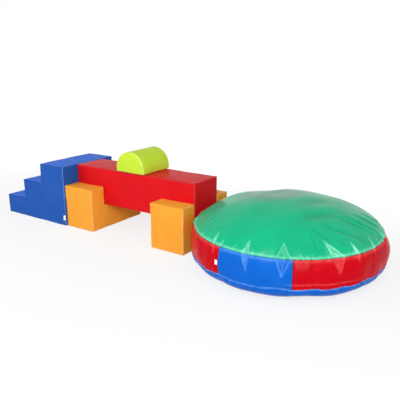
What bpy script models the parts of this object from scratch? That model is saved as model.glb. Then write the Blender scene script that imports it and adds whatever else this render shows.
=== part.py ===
"""Soft play obstacle course: three steps, a beam in two notched cradles with a half-round on it,
and a large round cushion. Each block is cut foam in a sewn cover of coated cloth, closed by a zip
underneath. Metres, +Z up, +X along the course from the steps to the cushion, front towards -Y."""
import math

import bmesh
import bpy
from mathutils import Matrix, Vector

# Clearances
GAP = 0.0003
FOAM_EASE = 0.0005

# Sewn cover: coated cloth with its lining and seam allowance
SKIN = 0.002
EDGE_RADIUS = 0.012
NOOK_RADIUS = 0.004
EDGE_STEPS = 3

# How far in from a face the seams run, as shares of the edge radius, clear of the facets' corners
SEAM_SHARE = 0.39
END_SEAM_SHARE = 0.76

# Beam and the two cradles that hold it
BEAM_LENGTH = 1.20
BEAM_WIDTH = 0.30
BEAM_HEIGHT = 0.30
CRADLE_LENGTH = 0.30
CRADLE_WIDTH = 0.59
NOTCH_FLOOR = 0.20
NOTCH_DEPTH = 0.15

# Steps, level with the top of the beam: depth of each tread from the lowest
TREADS = (0.235, 0.235, 0.28)
STEP_COUNT = len(TREADS)
STEPS_WIDTH = 0.58

# Half-round lying across the middle of the beam
HALF_ROUND_RADIUS = 0.14
HALF_ROUND_SIDE = 0.025
HALF_ROUND_FACETS = 16
HALF_ROUND_LENGTH = 0.32
HALF_ROUND_SHIFT_X = -0.008
HALF_ROUND_SHIFT_Y = 0.005

# Round cushion, on its own axis: radii and heights of its seams, crown and foot
TOP_SEAM_RADIUS = 0.634
TOP_SEAM_HEIGHT = 0.283
BASE_SEAM_RADIUS = 0.643
BASE_SEAM_HEIGHT = 0.101
BAND_BULGE = 0.014
BAND_STEPS = 4
CROWN_HEIGHT = 0.488
CROWN_POWER = 0.8
FOOT_RADIUS = 0.39

# Band of the cushion: pairs of one red and one blue panel, from the photographed seam
PANEL_PAIRS = 2
RED_DEGREES = 138
RED_STEPS = 36
BLUE_STEPS = 11
FIRST_RED_DEGREES = 118

# Puckers that the gathered seams leave in the cushion's panels
PUCKER_DEPTH = 0.006
PUCKER_REACH = 0.034
TOP_PUCKERS = 24
BASE_PUCKERS = 19

# Loose filling of the cushion
FILLING_EASE = 0.001
FILLING_STEPS = 48

# Zips in the base panels
ZIP_MARGIN = 0.04
ZIP_SLOT_WIDTH = 0.016
TAPE_WIDTH = 0.030
TAPE_THICKNESS = 0.0008
TAPE_OVERLAP = 0.012
CHAIN_WIDTH = 0.007
CHAIN_THICKNESS = 0.0024
SLIDER_LENGTH = 0.014
SLIDER_WIDTH = 0.012
SLIDER_LIP = 0.002

# Blank label tabs caught in two seams
LABEL_THICKNESS = 0.0008
STEPS_LABEL_REACH = 0.022
STEPS_LABEL_DEGREES = 20
STEPS_LABEL_HEIGHT = 0.041
STEPS_LABEL_LOW = 0.053
CUSHION_LABEL_WIDTH = 0.018
CUSHION_LABEL_HEIGHT = 0.030

# Where the blocks stand across the course, from the cushion's centre line
STEPS_SHIFT_Y = -0.026
BEAM_SHIFT_Y = -0.007



def band_radius(share):
    """Radius of the cushion's side, a share of the way from its top seam to its base seam."""
    across = TOP_SEAM_RADIUS + (BASE_SEAM_RADIUS - TOP_SEAM_RADIUS) * share
    return across + BAND_BULGE * 4 * share * (1 - share)


# Sizes that follow from the ones above
BEAM_BOTTOM = NOTCH_FLOOR + GAP
BEAM_TOP = BEAM_BOTTOM + BEAM_HEIGHT
RISER = BEAM_TOP / STEP_COUNT
STEPS_LENGTH = sum(TREADS)
NOTCH_WIDTH = BEAM_WIDTH + 2 * GAP
UPRIGHT_WIDTH = (CRADLE_WIDTH - NOTCH_WIDTH) / 2
SEAM_IN = EDGE_RADIUS * SEAM_SHARE
END_SEAM_IN = EDGE_RADIUS * END_SEAM_SHARE
FOAM_IN = SKIN + FOAM_EASE
BAND_RADIUS = max(band_radius(step / BAND_STEPS) for step in range(BAND_STEPS + 1))
BAND_MIDDLE = (TOP_SEAM_HEIGHT + BASE_SEAM_HEIGHT) / 2
BLUE_DEGREES = 360 / PANEL_PAIRS - RED_DEGREES
COURSE_LENGTH = STEPS_LENGTH + GAP + BEAM_LENGTH + GAP + 2 * BAND_RADIUS

# Places along the course, each the middle of its block
STEPS_X = (STEPS_LENGTH - COURSE_LENGTH) / 2
BEAM_X = STEPS_X + STEPS_LENGTH / 2 + GAP + BEAM_LENGTH / 2
LEFT_CRADLE_X = BEAM_X - (BEAM_LENGTH - CRADLE_LENGTH) / 2
RIGHT_CRADLE_X = BEAM_X + (BEAM_LENGTH - CRADLE_LENGTH) / 2
CUSHION_X = COURSE_LENGTH / 2 - BAND_RADIUS

# Heights in the zip, from the underside of its base panel
TAPE_LOW = SKIN + GAP
TAPE_HIGH = TAPE_LOW + TAPE_THICKNESS
CHAIN_LOW = (TAPE_LOW + TAPE_HIGH - CHAIN_THICKNESS) / 2
CHAIN_HIGH = CHAIN_LOW + CHAIN_THICKNESS

# Colours as they look, as sRGB hex values
BLUE = "2F62C0"
RED = "DC2126"
ORANGE = "F2A23A"
LIME = "BEE23F"
GREEN = "22B283"
CUSHION_BLUE = "1668CC"
CUSHION_RED = "D01428"
FOAM = "E8DFC4"
WADDING = "E9E7E0"
WHITE = "F4F4F2"
ZIP_GREY = "3A3D42"

SHARP = math.radians(40)
MERGE = 0.00001


def clear_scene():
    """Start from an empty scene."""
    for thing in list(bpy.data.objects):
        bpy.data.objects.remove(thing, do_unlink=True)


def linear(hex_colour):
    """An sRGB hex colour as linear red, green, blue and alpha."""
    channels = [int(hex_colour[i:i + 2], 16) / 255 for i in (0, 2, 4)]
    return [c / 12.92 if c <= 0.04045 else ((c + 0.055) / 1.055) ** 2.4 for c in channels] + [1.0]


def make_material(name, hex_colour, roughness):
    """A Principled BSDF of one colour."""
    material = bpy.data.materials.new(name)
    material.use_nodes = True
    shader = material.node_tree.nodes["Principled BSDF"]
    shader.inputs["Base Color"].default_value = linear(hex_colour)
    shader.inputs["Roughness"].default_value = roughness
    shader.inputs["Metallic"].default_value = 0.0
    return material


clear_scene()
PARTS = bpy.data.collections.new("soft_play_obstacle_course")
CUTTERS = bpy.data.collections.new("cutters")
bpy.context.scene.collection.children.link(PARTS)
bpy.context.scene.collection.children.link(CUTTERS)


def add_piece(name, bm, parent, hex_colour, roughness=0.35):
    """An object of its own for one physical piece, with its own material."""
    mesh = bpy.data.meshes.new(name)
    bm.to_mesh(mesh)
    bm.free()
    mesh.shade_smooth()
    mesh.set_sharp_from_angle(angle=SHARP)
    mesh.materials.append(make_material(name, hex_colour, roughness))
    piece = bpy.data.objects.new(name, mesh)
    piece.parent = parent
    PARTS.objects.link(piece)
    return piece


def add_block(name, x, y, z, turned=False):
    """An empty in the middle of a block's base; a turned block runs its depth along X."""
    block = bpy.data.objects.new(name, None)
    block.location = (x, y, z)
    block.rotation_euler.z = math.pi / 2 if turned else 0.0
    PARTS.objects.link(block)
    return block


def box(width, depth, height, centre):
    """A closed box of the given size."""
    bm = bmesh.new()
    bmesh.ops.create_cube(bm, size=1.0)
    bmesh.ops.scale(bm, vec=(width, depth, height), verts=bm.verts)
    bmesh.ops.translate(bm, vec=centre, verts=bm.verts)
    return bm


def combine(target, operation, name, bm):
    """Cut a closed body out of a piece, or join it to the piece, by way of a hidden guide."""
    mesh = bpy.data.meshes.new(name)
    bm.to_mesh(mesh)
    bm.free()
    guide = bpy.data.objects.new(name, mesh)
    guide.parent = target.parent
    guide.display_type = "WIRE"
    guide.hide_render = True
    CUTTERS.objects.link(guide)
    step = target.modifiers.new(name, "BOOLEAN")
    step.operation = operation
    step.solver = "EXACT"
    step.object = guide


def draw_in(corners, inset):
    """The corners of an anticlockwise outline, each moved in so that every side moves by inset."""
    drawn = []
    for i, corner in enumerate(corners):
        before = (corner - corners[i - 1]).normalized()
        after = (corners[(i + 1) % len(corners)] - corner).normalized()
        inward = Vector((-before.y - after.y, before.x + after.x))
        drawn.append(corner + inward * (inset / (1 + before.dot(after))))
    return drawn


def round_edges(bm, edges, radius):
    """Round the given edges with the same few facets everywhere."""
    bmesh.ops.bevel(bm, geom=edges, offset=radius, offset_type="OFFSET", segments=EDGE_STEPS,
                    profile=0.5, affect="EDGES", clamp_overlap=False)


def block_body(corners, depth, inset=0.0):
    """A closed block: an outline in XZ drawn out along Y, with rounded edges and inner corners."""
    bm = bmesh.new()
    front = inset - depth / 2
    rim = [bm.verts.new((corner.x, front, corner.y)) for corner in draw_in(corners, inset)]
    drawn = bmesh.ops.extrude_face_region(bm, geom=[bm.faces.new(rim)])
    back_rim = [item for item in drawn["geom"] if isinstance(item, bmesh.types.BMVert)]
    bmesh.ops.translate(bm, vec=(0, -2 * front, 0), verts=back_rim)
    bmesh.ops.recalc_face_normals(bm, faces=bm.faces)
    nooks = [edge for edge in bm.edges if edge.calc_face_angle_signed() < -SHARP]
    round_edges(bm, nooks, NOOK_RADIUS + inset)
    outer = [edge for edge in bm.edges if edge.calc_face_angle_signed() > SHARP]
    round_edges(bm, outer, EDGE_RADIUS - inset)
    return bm


def keep(axis, side, value):
    """A cut square to an axis that keeps what lies above or below value."""
    away = Vector([1.0 if letter == axis else 0.0 for letter in "XYZ"])
    place = away * (value + GAP / 2 if side == "above" else value - GAP / 2)
    return place, away if side == "below" else -away


def add_panel(name, body, cuts, parent, hex_colour):
    """One cover panel: the part of the block's surface between its seams, with its thickness inwards."""
    bm = body.copy()
    for place, away in cuts:
        everything = bm.verts[:] + bm.edges[:] + bm.faces[:]
        bmesh.ops.bisect_plane(bm, geom=everything, plane_co=place, plane_no=away, clear_outer=True)
    panel = add_piece(name, bm, parent, hex_colour)
    thickness = panel.modifiers.new("cloth thickness", "SOLIDIFY")
    thickness.thickness = SKIN
    thickness.offset = -1.0
    thickness.use_even_offset = True
    return panel


def add_foam_slab(name, parent, low, high):
    """A slab of foam between two corners of its cover, kept clear of the cover and of the glue lines."""
    size = high - low
    slab = add_piece(name, box(*size, (low + high) / 2), parent, FOAM, 0.9)
    rounding = slab.modifiers.new("eased edges", "BEVEL")
    rounding.width = EDGE_RADIUS - FOAM_IN
    rounding.segments = EDGE_STEPS
    rounding.limit_method = "NONE"
    return slab


def bar(section, length):
    """A closed bar: a cross-section of (across, up) points drawn out along Y about its middle."""
    bm = bmesh.new()
    rim = [bm.verts.new((across, -length / 2, up)) for across, up in section]
    drawn = bmesh.ops.extrude_face_region(bm, geom=[bm.faces.new(rim)])
    far_rim = [item for item in drawn["geom"] if isinstance(item, bmesh.types.BMVert)]
    bmesh.ops.translate(bm, vec=(0, length, 0), verts=far_rim)
    bmesh.ops.recalc_face_normals(bm, faces=bm.faces)
    return bm


def add_zip(name, parent, base_panel, foam, opening, along):
    """A zip in the middle of a base panel: its slot, the hollow it presses in the foam, tape and slider."""
    quarter = Matrix.Rotation(math.pi / 2, 3, "Z") if along == "X" else Matrix.Identity(3)

    def aligned(bm):
        bmesh.ops.transform(bm, matrix=quarter.to_4x4(), verts=bm.verts)
        return bm

    tape_length = opening + 2 * TAPE_OVERLAP
    slot = aligned(box(ZIP_SLOT_WIDTH, opening, 4 * SKIN, (0, 0, 0)))
    combine(base_panel, "DIFFERENCE", name + "_slot", slot)
    hollow_size = (TAPE_WIDTH + 2 * FOAM_EASE, tape_length + 2 * FOAM_EASE, 2 * (CHAIN_HIGH + GAP))
    combine(foam, "DIFFERENCE", name + "_hollow", aligned(box(*hollow_size, (0, 0, 0))))

    middle = (0, 0, (TAPE_LOW + TAPE_HIGH) / 2)
    tape = aligned(box(TAPE_WIDTH, tape_length, TAPE_THICKNESS, middle))
    chain = aligned(box(CHAIN_WIDTH, opening - 2 * GAP, CHAIN_THICKNESS, middle))
    combine(add_piece(name, tape, parent, ZIP_GREY, 0.6), "UNION", name + "_chain", chain)

    outer = SLIDER_WIDTH / 2
    inner = outer - SLIDER_LIP
    lip_top = TAPE_LOW - GAP
    plate_top = CHAIN_LOW - GAP
    saddle = [(-outer, GAP), (outer, GAP), (outer, lip_top), (inner, lip_top),
              (inner, plate_top), (-inner, plate_top), (-inner, lip_top), (-outer, lip_top)]
    slider = add_piece(name + "_slider", aligned(bar(saddle, SLIDER_LENGTH)), parent, ZIP_GREY, 0.3)
    closed_end = SLIDER_LENGTH / 2 + GAP - opening / 2
    slider.location = quarter @ Vector((0, closed_end, 0))


def between(axis, low, high):
    """Two cuts that keep what lies between two seams."""
    return [keep(axis, "above", low), keep(axis, "below", high)]


def add_steps():
    """Blue steps: three glued slabs of foam in a cover of two stepped sides, treads, end and base."""
    block = add_block("steps", STEPS_X, STEPS_SHIFT_Y, 0.0)
    right = STEPS_LENGTH / 2
    front = -STEPS_WIDTH / 2
    ends = [-right + sum(TREADS[:step]) for step in range(STEP_COUNT + 1)]
    corners = [Vector((-right, 0)), Vector((right, 0))]
    for step in range(STEP_COUNT, 0, -1):
        corners.append(Vector((ends[step], step * RISER)))
        corners.append(Vector((ends[step - 1], step * RISER)))

    body = block_body(corners, STEPS_WIDTH)
    middle = between("Y", front + SEAM_IN, -front - SEAM_IN)
    over_base = keep("Z", "above", SEAM_IN)
    add_panel("steps_front_panel", body, [keep("Y", "below", front + SEAM_IN)], block, BLUE)
    add_panel("steps_back_panel", body, [keep("Y", "above", -front - SEAM_IN)], block, BLUE)
    treads = middle + [over_base, keep("X", "below", right - END_SEAM_IN)]
    add_panel("steps_tread_panel", body, treads, block, BLUE)
    end = middle + [over_base, keep("X", "above", right - END_SEAM_IN)]
    add_panel("steps_end_panel", body, end, block, BLUE)
    base = add_panel("steps_base_panel", body, middle + [keep("Z", "below", SEAM_IN)], block, BLUE)
    body.free()

    for step in range(STEP_COUNT):
        bottom = FOAM_IN if step == 0 else step * RISER - FOAM_IN + GAP
        low = Vector((ends[step] + FOAM_IN, front + FOAM_IN, bottom))
        high = Vector((right - FOAM_IN, -front - FOAM_IN, (step + 1) * RISER - FOAM_IN))
        slab = add_foam_slab("steps_foam_%d" % (step + 1), block, low, high)
        if step == 0:
            opening = STEPS_LENGTH - 2 * ZIP_MARGIN
            add_zip("steps_zip", block, base, slab, opening, "X")

    to_seam = (EDGE_RADIUS * math.cos(math.pi / 4 / EDGE_STEPS) + GAP + LABEL_THICKNESS / 2) * math.sqrt(0.5)
    size = (LABEL_THICKNESS, STEPS_LABEL_REACH, STEPS_LABEL_HEIGHT)
    label = box(*size, (0, -STEPS_LABEL_REACH / 2, STEPS_LABEL_LOW + STEPS_LABEL_HEIGHT / 2))
    label_piece = add_piece("steps_label", label, block, WHITE, 0.7)
    label_piece.location = (right - EDGE_RADIUS + to_seam, front + EDGE_RADIUS - to_seam, 0)
    label_piece.rotation_euler.z = -math.radians(STEPS_LABEL_DEGREES)


def add_beam():
    """Red beam: one block of foam in a cover of two ends, front, top, back and base."""
    block = add_block("beam", BEAM_X, BEAM_SHIFT_Y, BEAM_BOTTOM, turned=True)
    side = BEAM_WIDTH / 2
    end = BEAM_LENGTH / 2
    corners = [Vector(corner) for corner in (
        (-side, 0), (side, 0), (side, BEAM_HEIGHT), (-side, BEAM_HEIGHT))]

    body = block_body(corners, BEAM_LENGTH)
    middle = between("Y", SEAM_IN - end, end - SEAM_IN)
    upright = middle + between("Z", SEAM_IN, BEAM_HEIGHT - SEAM_IN)
    add_panel("beam_right_end_panel", body, [keep("Y", "below", SEAM_IN - end)], block, RED)
    add_panel("beam_left_end_panel", body, [keep("Y", "above", end - SEAM_IN)], block, RED)
    add_panel("beam_front_panel", body, upright + [keep("X", "below", 0)], block, RED)
    add_panel("beam_back_panel", body, upright + [keep("X", "above", 0)], block, RED)
    add_panel("beam_top_panel", body, middle + [keep("Z", "above", BEAM_HEIGHT - SEAM_IN)], block, RED)
    base = add_panel("beam_base_panel", body, middle + [keep("Z", "below", SEAM_IN)], block, RED)
    body.free()

    low = Vector((FOAM_IN - side, FOAM_IN - end, FOAM_IN))
    high = Vector((side - FOAM_IN, end - FOAM_IN, BEAM_HEIGHT - FOAM_IN))
    foam = add_foam_slab("beam_foam", block, low, high)
    add_zip("beam_zip", block, base, foam, BEAM_LENGTH - 2 * ZIP_MARGIN, "Y")


def add_cradle(name, x):
    """Orange cradle: a foam base and two foam uprights in a cover of two U-shaped sides, wrap and base."""
    block = add_block(name, x, BEAM_SHIFT_Y, 0.0, turned=True)
    side = CRADLE_WIDTH / 2
    notch = NOTCH_WIDTH / 2
    end = CRADLE_LENGTH / 2
    top = NOTCH_FLOOR + NOTCH_DEPTH
    corners = [Vector(corner) for corner in (
        (-side, 0), (side, 0), (side, top), (notch, top),
        (notch, NOTCH_FLOOR), (-notch, NOTCH_FLOOR), (-notch, top), (-side, top))]

    body = block_body(corners, CRADLE_LENGTH)
    middle = between("Y", SEAM_IN - end, end - SEAM_IN)
    add_panel(name + "_right_side_panel", body, [keep("Y", "below", SEAM_IN - end)], block, ORANGE)
    add_panel(name + "_left_side_panel", body, [keep("Y", "above", end - SEAM_IN)], block, ORANGE)
    add_panel(name + "_wrap_panel", body, middle + [keep("Z", "above", SEAM_IN)], block, ORANGE)
    base = add_panel(name + "_base_panel", body, middle + [keep("Z", "below", SEAM_IN)], block, ORANGE)
    body.free()

    low = Vector((FOAM_IN - side, FOAM_IN - end, FOAM_IN))
    high = Vector((side - FOAM_IN, end - FOAM_IN, NOTCH_FLOOR - FOAM_IN))
    foam = add_foam_slab(name + "_foam_base", block, low, high)
    for upright, inner_side in (("front", -notch), ("back", notch)):
        outer_side = inner_side + math.copysign(UPRIGHT_WIDTH, inner_side)
        near, far = sorted((inner_side, outer_side))
        low = Vector((near + FOAM_IN, FOAM_IN - end, NOTCH_FLOOR - FOAM_IN + GAP))
        high = Vector((far - FOAM_IN, end - FOAM_IN, top - FOAM_IN))
        add_foam_slab("%s_foam_%s" % (name, upright), block, low, high)
    add_zip(name + "_zip", block, base, foam, CRADLE_WIDTH - 2 * ZIP_MARGIN, "X")


def half_round_corners():
    """Outline of the half-round: a flat base, two low straight sides and a half circle over them."""
    base = [Vector((-HALF_ROUND_RADIUS, 0)), Vector((HALF_ROUND_RADIUS, 0))]
    arch = []
    for facet in range(HALF_ROUND_FACETS + 1):
        angle = math.pi * facet / HALF_ROUND_FACETS
        arch.append(Vector((HALF_ROUND_RADIUS * math.cos(angle),
                            HALF_ROUND_SIDE + HALF_ROUND_RADIUS * math.sin(angle))))
    return base + arch


def add_half_round():
    """Lime half-round: one block of foam in a cover of two ends, a curved panel and a base."""
    block = add_block("half_round", BEAM_X + HALF_ROUND_SHIFT_X, BEAM_SHIFT_Y + HALF_ROUND_SHIFT_Y, BEAM_TOP + GAP)
    end = HALF_ROUND_LENGTH / 2
    corners = half_round_corners()

    body = block_body(corners, HALF_ROUND_LENGTH)
    middle = between("Y", SEAM_IN - end, end - SEAM_IN)
    add_panel("half_round_front_panel", body, [keep("Y", "below", SEAM_IN - end)], block, LIME)
    add_panel("half_round_back_panel", body, [keep("Y", "above", end - SEAM_IN)], block, LIME)
    add_panel("half_round_curved_panel", body, middle + [keep("Z", "above", SEAM_IN)], block, LIME)
    base = add_panel("half_round_base_panel", body, middle + [keep("Z", "below", SEAM_IN)], block, LIME)
    body.free()

    foam = add_piece("half_round_foam", block_body(corners, HALF_ROUND_LENGTH, FOAM_IN), block, FOAM, 0.9)
    add_zip("half_round_zip", block, base, foam, BEAM_WIDTH - 2 * ZIP_MARGIN, "Y")


def dome_line(steps):
    """Points (radius, height) of the cushion's top, from the crown to just before the top seam."""
    line = []
    for step in range(steps):
        share = math.sin(math.pi / 2 * step / steps)
        rise = (CROWN_HEIGHT - TOP_SEAM_HEIGHT) * (1 - share ** 2) ** CROWN_POWER
        line.append(Vector((TOP_SEAM_RADIUS * share, TOP_SEAM_HEIGHT + rise)))
    return line


def band_line(steps):
    """Points of the cushion's side, from the top seam to just before the base seam."""
    line = []
    for step in range(steps):
        share = step / steps
        height = TOP_SEAM_HEIGHT + (BASE_SEAM_HEIGHT - TOP_SEAM_HEIGHT) * share
        line.append(Vector((band_radius(share), height)))
    return line


def underside_line(steps):
    """Points of the cushion's underside, from the base seam to the flat foot and its centre."""
    line = []
    for step in range(steps + 1):
        angle = math.pi / 2 * (1 - step / steps)
        line.append(Vector((FOOT_RADIUS + (BASE_SEAM_RADIUS - FOOT_RADIUS) * math.sin(angle),
                            BASE_SEAM_HEIGHT * (1 - math.cos(angle)))))
    return line + [Vector((0, 0))]


def inner_line(line, depth):
    """The line from the crown to the foot's centre, drawn in by depth square to each stretch."""
    mirror = Vector((-1, 1))
    ends = [line[1] * mirror] + line + [line[-2] * mirror]
    drawn = []
    for i, point in enumerate(line):
        before = (point - ends[i]).normalized()
        after = (ends[i + 2] - point).normalized()
        inward = Vector((before.y + after.y, -before.x - after.x))
        drawn.append(point + inward * (depth / (1 + before.dot(after))))
    return drawn


def trimmed(line, at_start, at_end):
    """The line with its sewn ends held back by half a clearance."""
    line = [point.copy() for point in line]
    if at_start:
        line[0] += (line[1] - line[0]).normalized() * GAP / 2
    if at_end:
        line[-1] += (line[-2] - line[-1]).normalized() * GAP / 2
    return line


def turn(bm, line, start_degrees, sweep_degrees, steps, closed):
    """Turn a line about the upright axis, starting at one angle and sweeping another."""
    start = math.radians(start_degrees)
    verts = [bm.verts.new((p.x * math.cos(start), p.x * math.sin(start), p.y)) for p in line]
    followers = verts[1:] + (verts[:1] if closed else [])
    edges = [bm.edges.new(pair) for pair in zip(verts, followers)]
    bmesh.ops.spin(bm, geom=verts + edges, cent=(0, 0, 0), axis=(0, 0, 1),
                   angle=math.radians(sweep_degrees), steps=steps)


def band_sectors():
    """Name, colour, start, sweep and steps of each panel of the cushion's band."""
    sectors = []
    start = FIRST_RED_DEGREES
    for pair in range(PANEL_PAIRS):
        sectors.append(("cushion_red_panel_%d" % (pair + 1), CUSHION_RED, start, RED_DEGREES, RED_STEPS))
        start += RED_DEGREES
        sectors.append(("cushion_blue_panel_%d" % (pair + 1), CUSHION_BLUE, start, BLUE_DEGREES, BLUE_STEPS))
        start += BLUE_DEGREES
    return sectors


def wave(angle, count):
    """A pucker's share of the full depth at an angle, 0 to 1, unevenly spaced round the seam."""
    return 0.5 + 0.5 * math.sin(count * angle + 1.1 * math.sin(2 * angle) + 0.6 * math.sin(5 * angle))


def pleat(distance):
    """How deep a pucker is at a distance from its seam: nothing at the seam, full at its reach."""
    share = (distance / PUCKER_REACH) ** 2
    return share * math.exp(1 - share)


def gather(bm):
    """Pull the cushion's cloth in between the gathers of its two seams."""
    top = Vector((TOP_SEAM_RADIUS, TOP_SEAM_HEIGHT))
    base = Vector((BASE_SEAM_RADIUS, BASE_SEAM_HEIGHT))
    heart = Vector((TOP_SEAM_RADIUS / 2, BAND_MIDDLE))
    for vert in bm.verts:
        angle = math.atan2(vert.co.y, vert.co.x)
        point = Vector((math.hypot(vert.co.x, vert.co.y), vert.co.z))
        depth = max(pleat((point - top).length) * wave(angle, TOP_PUCKERS),
                    pleat((point - base).length) * wave(angle, BASE_PUCKERS))
        point += (heart - point).normalized() * depth * PUCKER_DEPTH
        vert.co = (point.x * math.cos(angle), point.x * math.sin(angle), point.y)


def join_flat(bm):
    """Join the flat faces that lie level into one face each."""
    level = [face for face in bm.faces if abs(face.normal.z) > 0.99999]
    bmesh.ops.dissolve_faces(bm, faces=level, use_verts=True)


def full_turn(line):
    """A closed body turned all the way round, with its angles at those of the band's panels."""
    bm = bmesh.new()
    for _, _, start, sweep, steps in band_sectors():
        turn(bm, line, start, sweep, steps, closed=False)
    bmesh.ops.remove_doubles(bm, verts=bm.verts, dist=MERGE)
    bmesh.ops.recalc_face_normals(bm, faces=bm.faces)
    return bm


def add_cushion():
    """Round cushion: loose filling in a green top, a band of red and blue panels and a blue base."""
    block = add_block("cushion", CUSHION_X, 0.0, 0.0)
    dome = dome_line(5)
    band = band_line(BAND_STEPS)
    outer = dome + band + underside_line(4)
    inner = inner_line(outer, SKIN)
    top_seam = len(dome)
    base_seam = top_seam + len(band)

    top_section = (trimmed(outer[:top_seam + 1], False, True)
                   + trimmed(inner[:top_seam + 1], False, True)[::-1])
    top = full_turn(top_section)
    gather(top)
    add_piece("cushion_top_panel", top, block, GREEN)

    band_section = (trimmed(outer[top_seam:base_seam + 1], True, True)
                    + trimmed(inner[top_seam:base_seam + 1], True, True)[::-1])
    trim = math.degrees(GAP / 2 / BAND_RADIUS)
    for name, hex_colour, start, sweep, steps in band_sectors():
        panel = bmesh.new()
        turn(panel, band_section, start + trim, sweep - 2 * trim, steps, closed=True)
        bmesh.ops.holes_fill(panel, edges=[edge for edge in panel.edges if edge.is_boundary], sides=0)
        bmesh.ops.recalc_face_normals(panel, faces=panel.faces)
        gather(panel)
        add_piece(name, panel, block, hex_colour)

    base_section = trimmed(outer[base_seam:], True, False)[::-1] + trimmed(inner[base_seam:], True, False)
    base = full_turn(base_section)
    gather(base)
    join_flat(base)
    base_panel = add_piece("cushion_base_panel", base, block, CUSHION_BLUE)

    clear_of_puckers = SKIN + PUCKER_DEPTH + FILLING_EASE
    plain = dome_line(4) + band_line(2) + underside_line(2)
    line = inner_line(plain, clear_of_puckers)[:-2]
    line += [Vector((FOOT_RADIUS - clear_of_puckers, FOAM_IN)), Vector((0, FOAM_IN))]
    filling = bmesh.new()
    turn(filling, line, 0, 360, FILLING_STEPS, closed=False)
    bmesh.ops.remove_doubles(filling, verts=filling.verts, dist=MERGE)
    bmesh.ops.recalc_face_normals(filling, faces=filling.faces)
    join_flat(filling)
    filling_piece = add_piece("cushion_filling", filling, block, WADDING, 0.9)
    add_zip("cushion_zip", block, base_panel, filling_piece, 2 * (FOOT_RADIUS - ZIP_MARGIN), "X")

    seam_angle = math.radians(FIRST_RED_DEGREES + RED_DEGREES)
    label_angle = seam_angle - CUSHION_LABEL_WIDTH / 2 / BAND_RADIUS
    label = box(LABEL_THICKNESS, CUSHION_LABEL_WIDTH, CUSHION_LABEL_HEIGHT, (0, 0, 0))
    label_piece = add_piece("cushion_label", label, block, WHITE, 0.7)
    label_radius = band_radius(0.5) + GAP + LABEL_THICKNESS / 2
    lean = math.atan2(TOP_SEAM_RADIUS - BASE_SEAM_RADIUS, TOP_SEAM_HEIGHT - BASE_SEAM_HEIGHT)
    outward = Vector((math.cos(label_angle), math.sin(label_angle), 0))
    label_piece.location = outward * label_radius + Vector((0, 0, BAND_MIDDLE))
    label_piece.rotation_euler = (0, lean, label_angle)


add_steps()
add_beam()
add_cradle("left_cradle", LEFT_CRADLE_X)
add_cradle("right_cradle", RIGHT_CRADLE_X)
add_half_round()
add_cushion()
bpy.context.view_layer.update()
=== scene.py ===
"""Soft play obstacle course: steps, a beam on two cradles, a half-round and a large round cushion.

Every block is foam in a sewn, zipped cover of coated vinyl. The cushion is loose filling in a sewn cover.
"""

import math

import bpy
import numpy as np
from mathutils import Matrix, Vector


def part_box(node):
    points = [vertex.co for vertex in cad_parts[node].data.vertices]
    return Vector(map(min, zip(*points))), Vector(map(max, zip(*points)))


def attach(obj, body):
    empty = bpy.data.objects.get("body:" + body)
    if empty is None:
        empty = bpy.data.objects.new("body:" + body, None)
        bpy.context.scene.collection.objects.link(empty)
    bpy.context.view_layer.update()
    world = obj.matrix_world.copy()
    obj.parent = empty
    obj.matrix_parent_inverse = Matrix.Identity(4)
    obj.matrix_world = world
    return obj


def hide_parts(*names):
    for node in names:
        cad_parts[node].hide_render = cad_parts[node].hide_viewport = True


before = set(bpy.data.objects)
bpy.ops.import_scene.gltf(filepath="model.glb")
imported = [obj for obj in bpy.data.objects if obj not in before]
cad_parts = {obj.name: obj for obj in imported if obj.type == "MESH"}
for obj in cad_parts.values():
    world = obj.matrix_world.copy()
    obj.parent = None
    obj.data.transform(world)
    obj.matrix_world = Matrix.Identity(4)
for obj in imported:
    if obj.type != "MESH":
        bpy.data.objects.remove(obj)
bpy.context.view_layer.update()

# Sizes of the blocks, in metres
EDGE_RADIUS = 0.006
TREADS = (0.235, 0.235, 0.28)
NOTCH_WIDTH = 0.3006
NOTCH_FLOOR = 0.20
HALF_ROUND_SIDE = 0.025
ZIP_SLOT_WIDTH = 0.016
ZIP_END_MARGIN = 0.012
ZIP_RECESS_DEPTH = 0.0042
CUSHION_ZIP_RECESS_DEPTH = 0.006

# Sizes of the round cushion, in metres
TOP_SEAM_RADIUS = 0.634
TOP_SEAM_HEIGHT = 0.283
BASE_SEAM_RADIUS = 0.643
BASE_SEAM_HEIGHT = 0.101
BAND_BULGE = 0.014
CROWN_HEIGHT = 0.488
CROWN_POWER = 0.8
FOOT_RADIUS = 0.39
COVER_THICKNESS = 0.002
RED_PANEL_ANGLE = 138
BLUE_PANEL_ANGLE = 42
FIRST_RED_ANGLE = 118
PANEL_PAIRS = 2

# How a cover lies on its filling, in metres
FOAM_INSET = 0.0008
BLOCK_SWELL = 0.0030
CUSHION_SWELL = 0.010
REST_MARGIN = 0.05
SEAM_GATHER = 0.0011
GATHER_REACH = 0.024
ROUND_GATHER = 0.0022
ROUND_GATHER_REACH = 0.03
SWAY_DEPTH = 0.0013
SWAY_LENGTH = 0.22
ROUND_SWAY_DEPTH = 0.004
ROUND_SWAY_LENGTH = 0.33
BASE_WAVE_HEIGHT = 0.005
BASE_WAVE_REACH = 0.05

# Seams: depth and half width of the fold, and height, place and half width of the lip beside it, in metres
BLOCK_SEAM = (0.0014, 0.0022, 0.0005, 0.010, 0.005)
ROUND_SEAM = (0.0018, 0.003, 0.0012, 0.011, 0.006)
BAND_SEAM = (0.003, 0.004, 0.0012, 0.012, 0.006)
# Soft creases: the share of each end that lies flattest and the power of the rise from it, and the place and
# half width of the lip beside them, in half widths of the crease
BLOCK_CREASE = (0.1, 0.5, 1.8, 0.8)
DOME_CREASE = (0.08, 0.6, 1.9, 0.9)

# Lattice of a block's cover, in metres
EDGE_OFFSETS = (0.0, 0.003, 0.007, 0.015)
LATTICE_CELL = 0.026

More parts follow.
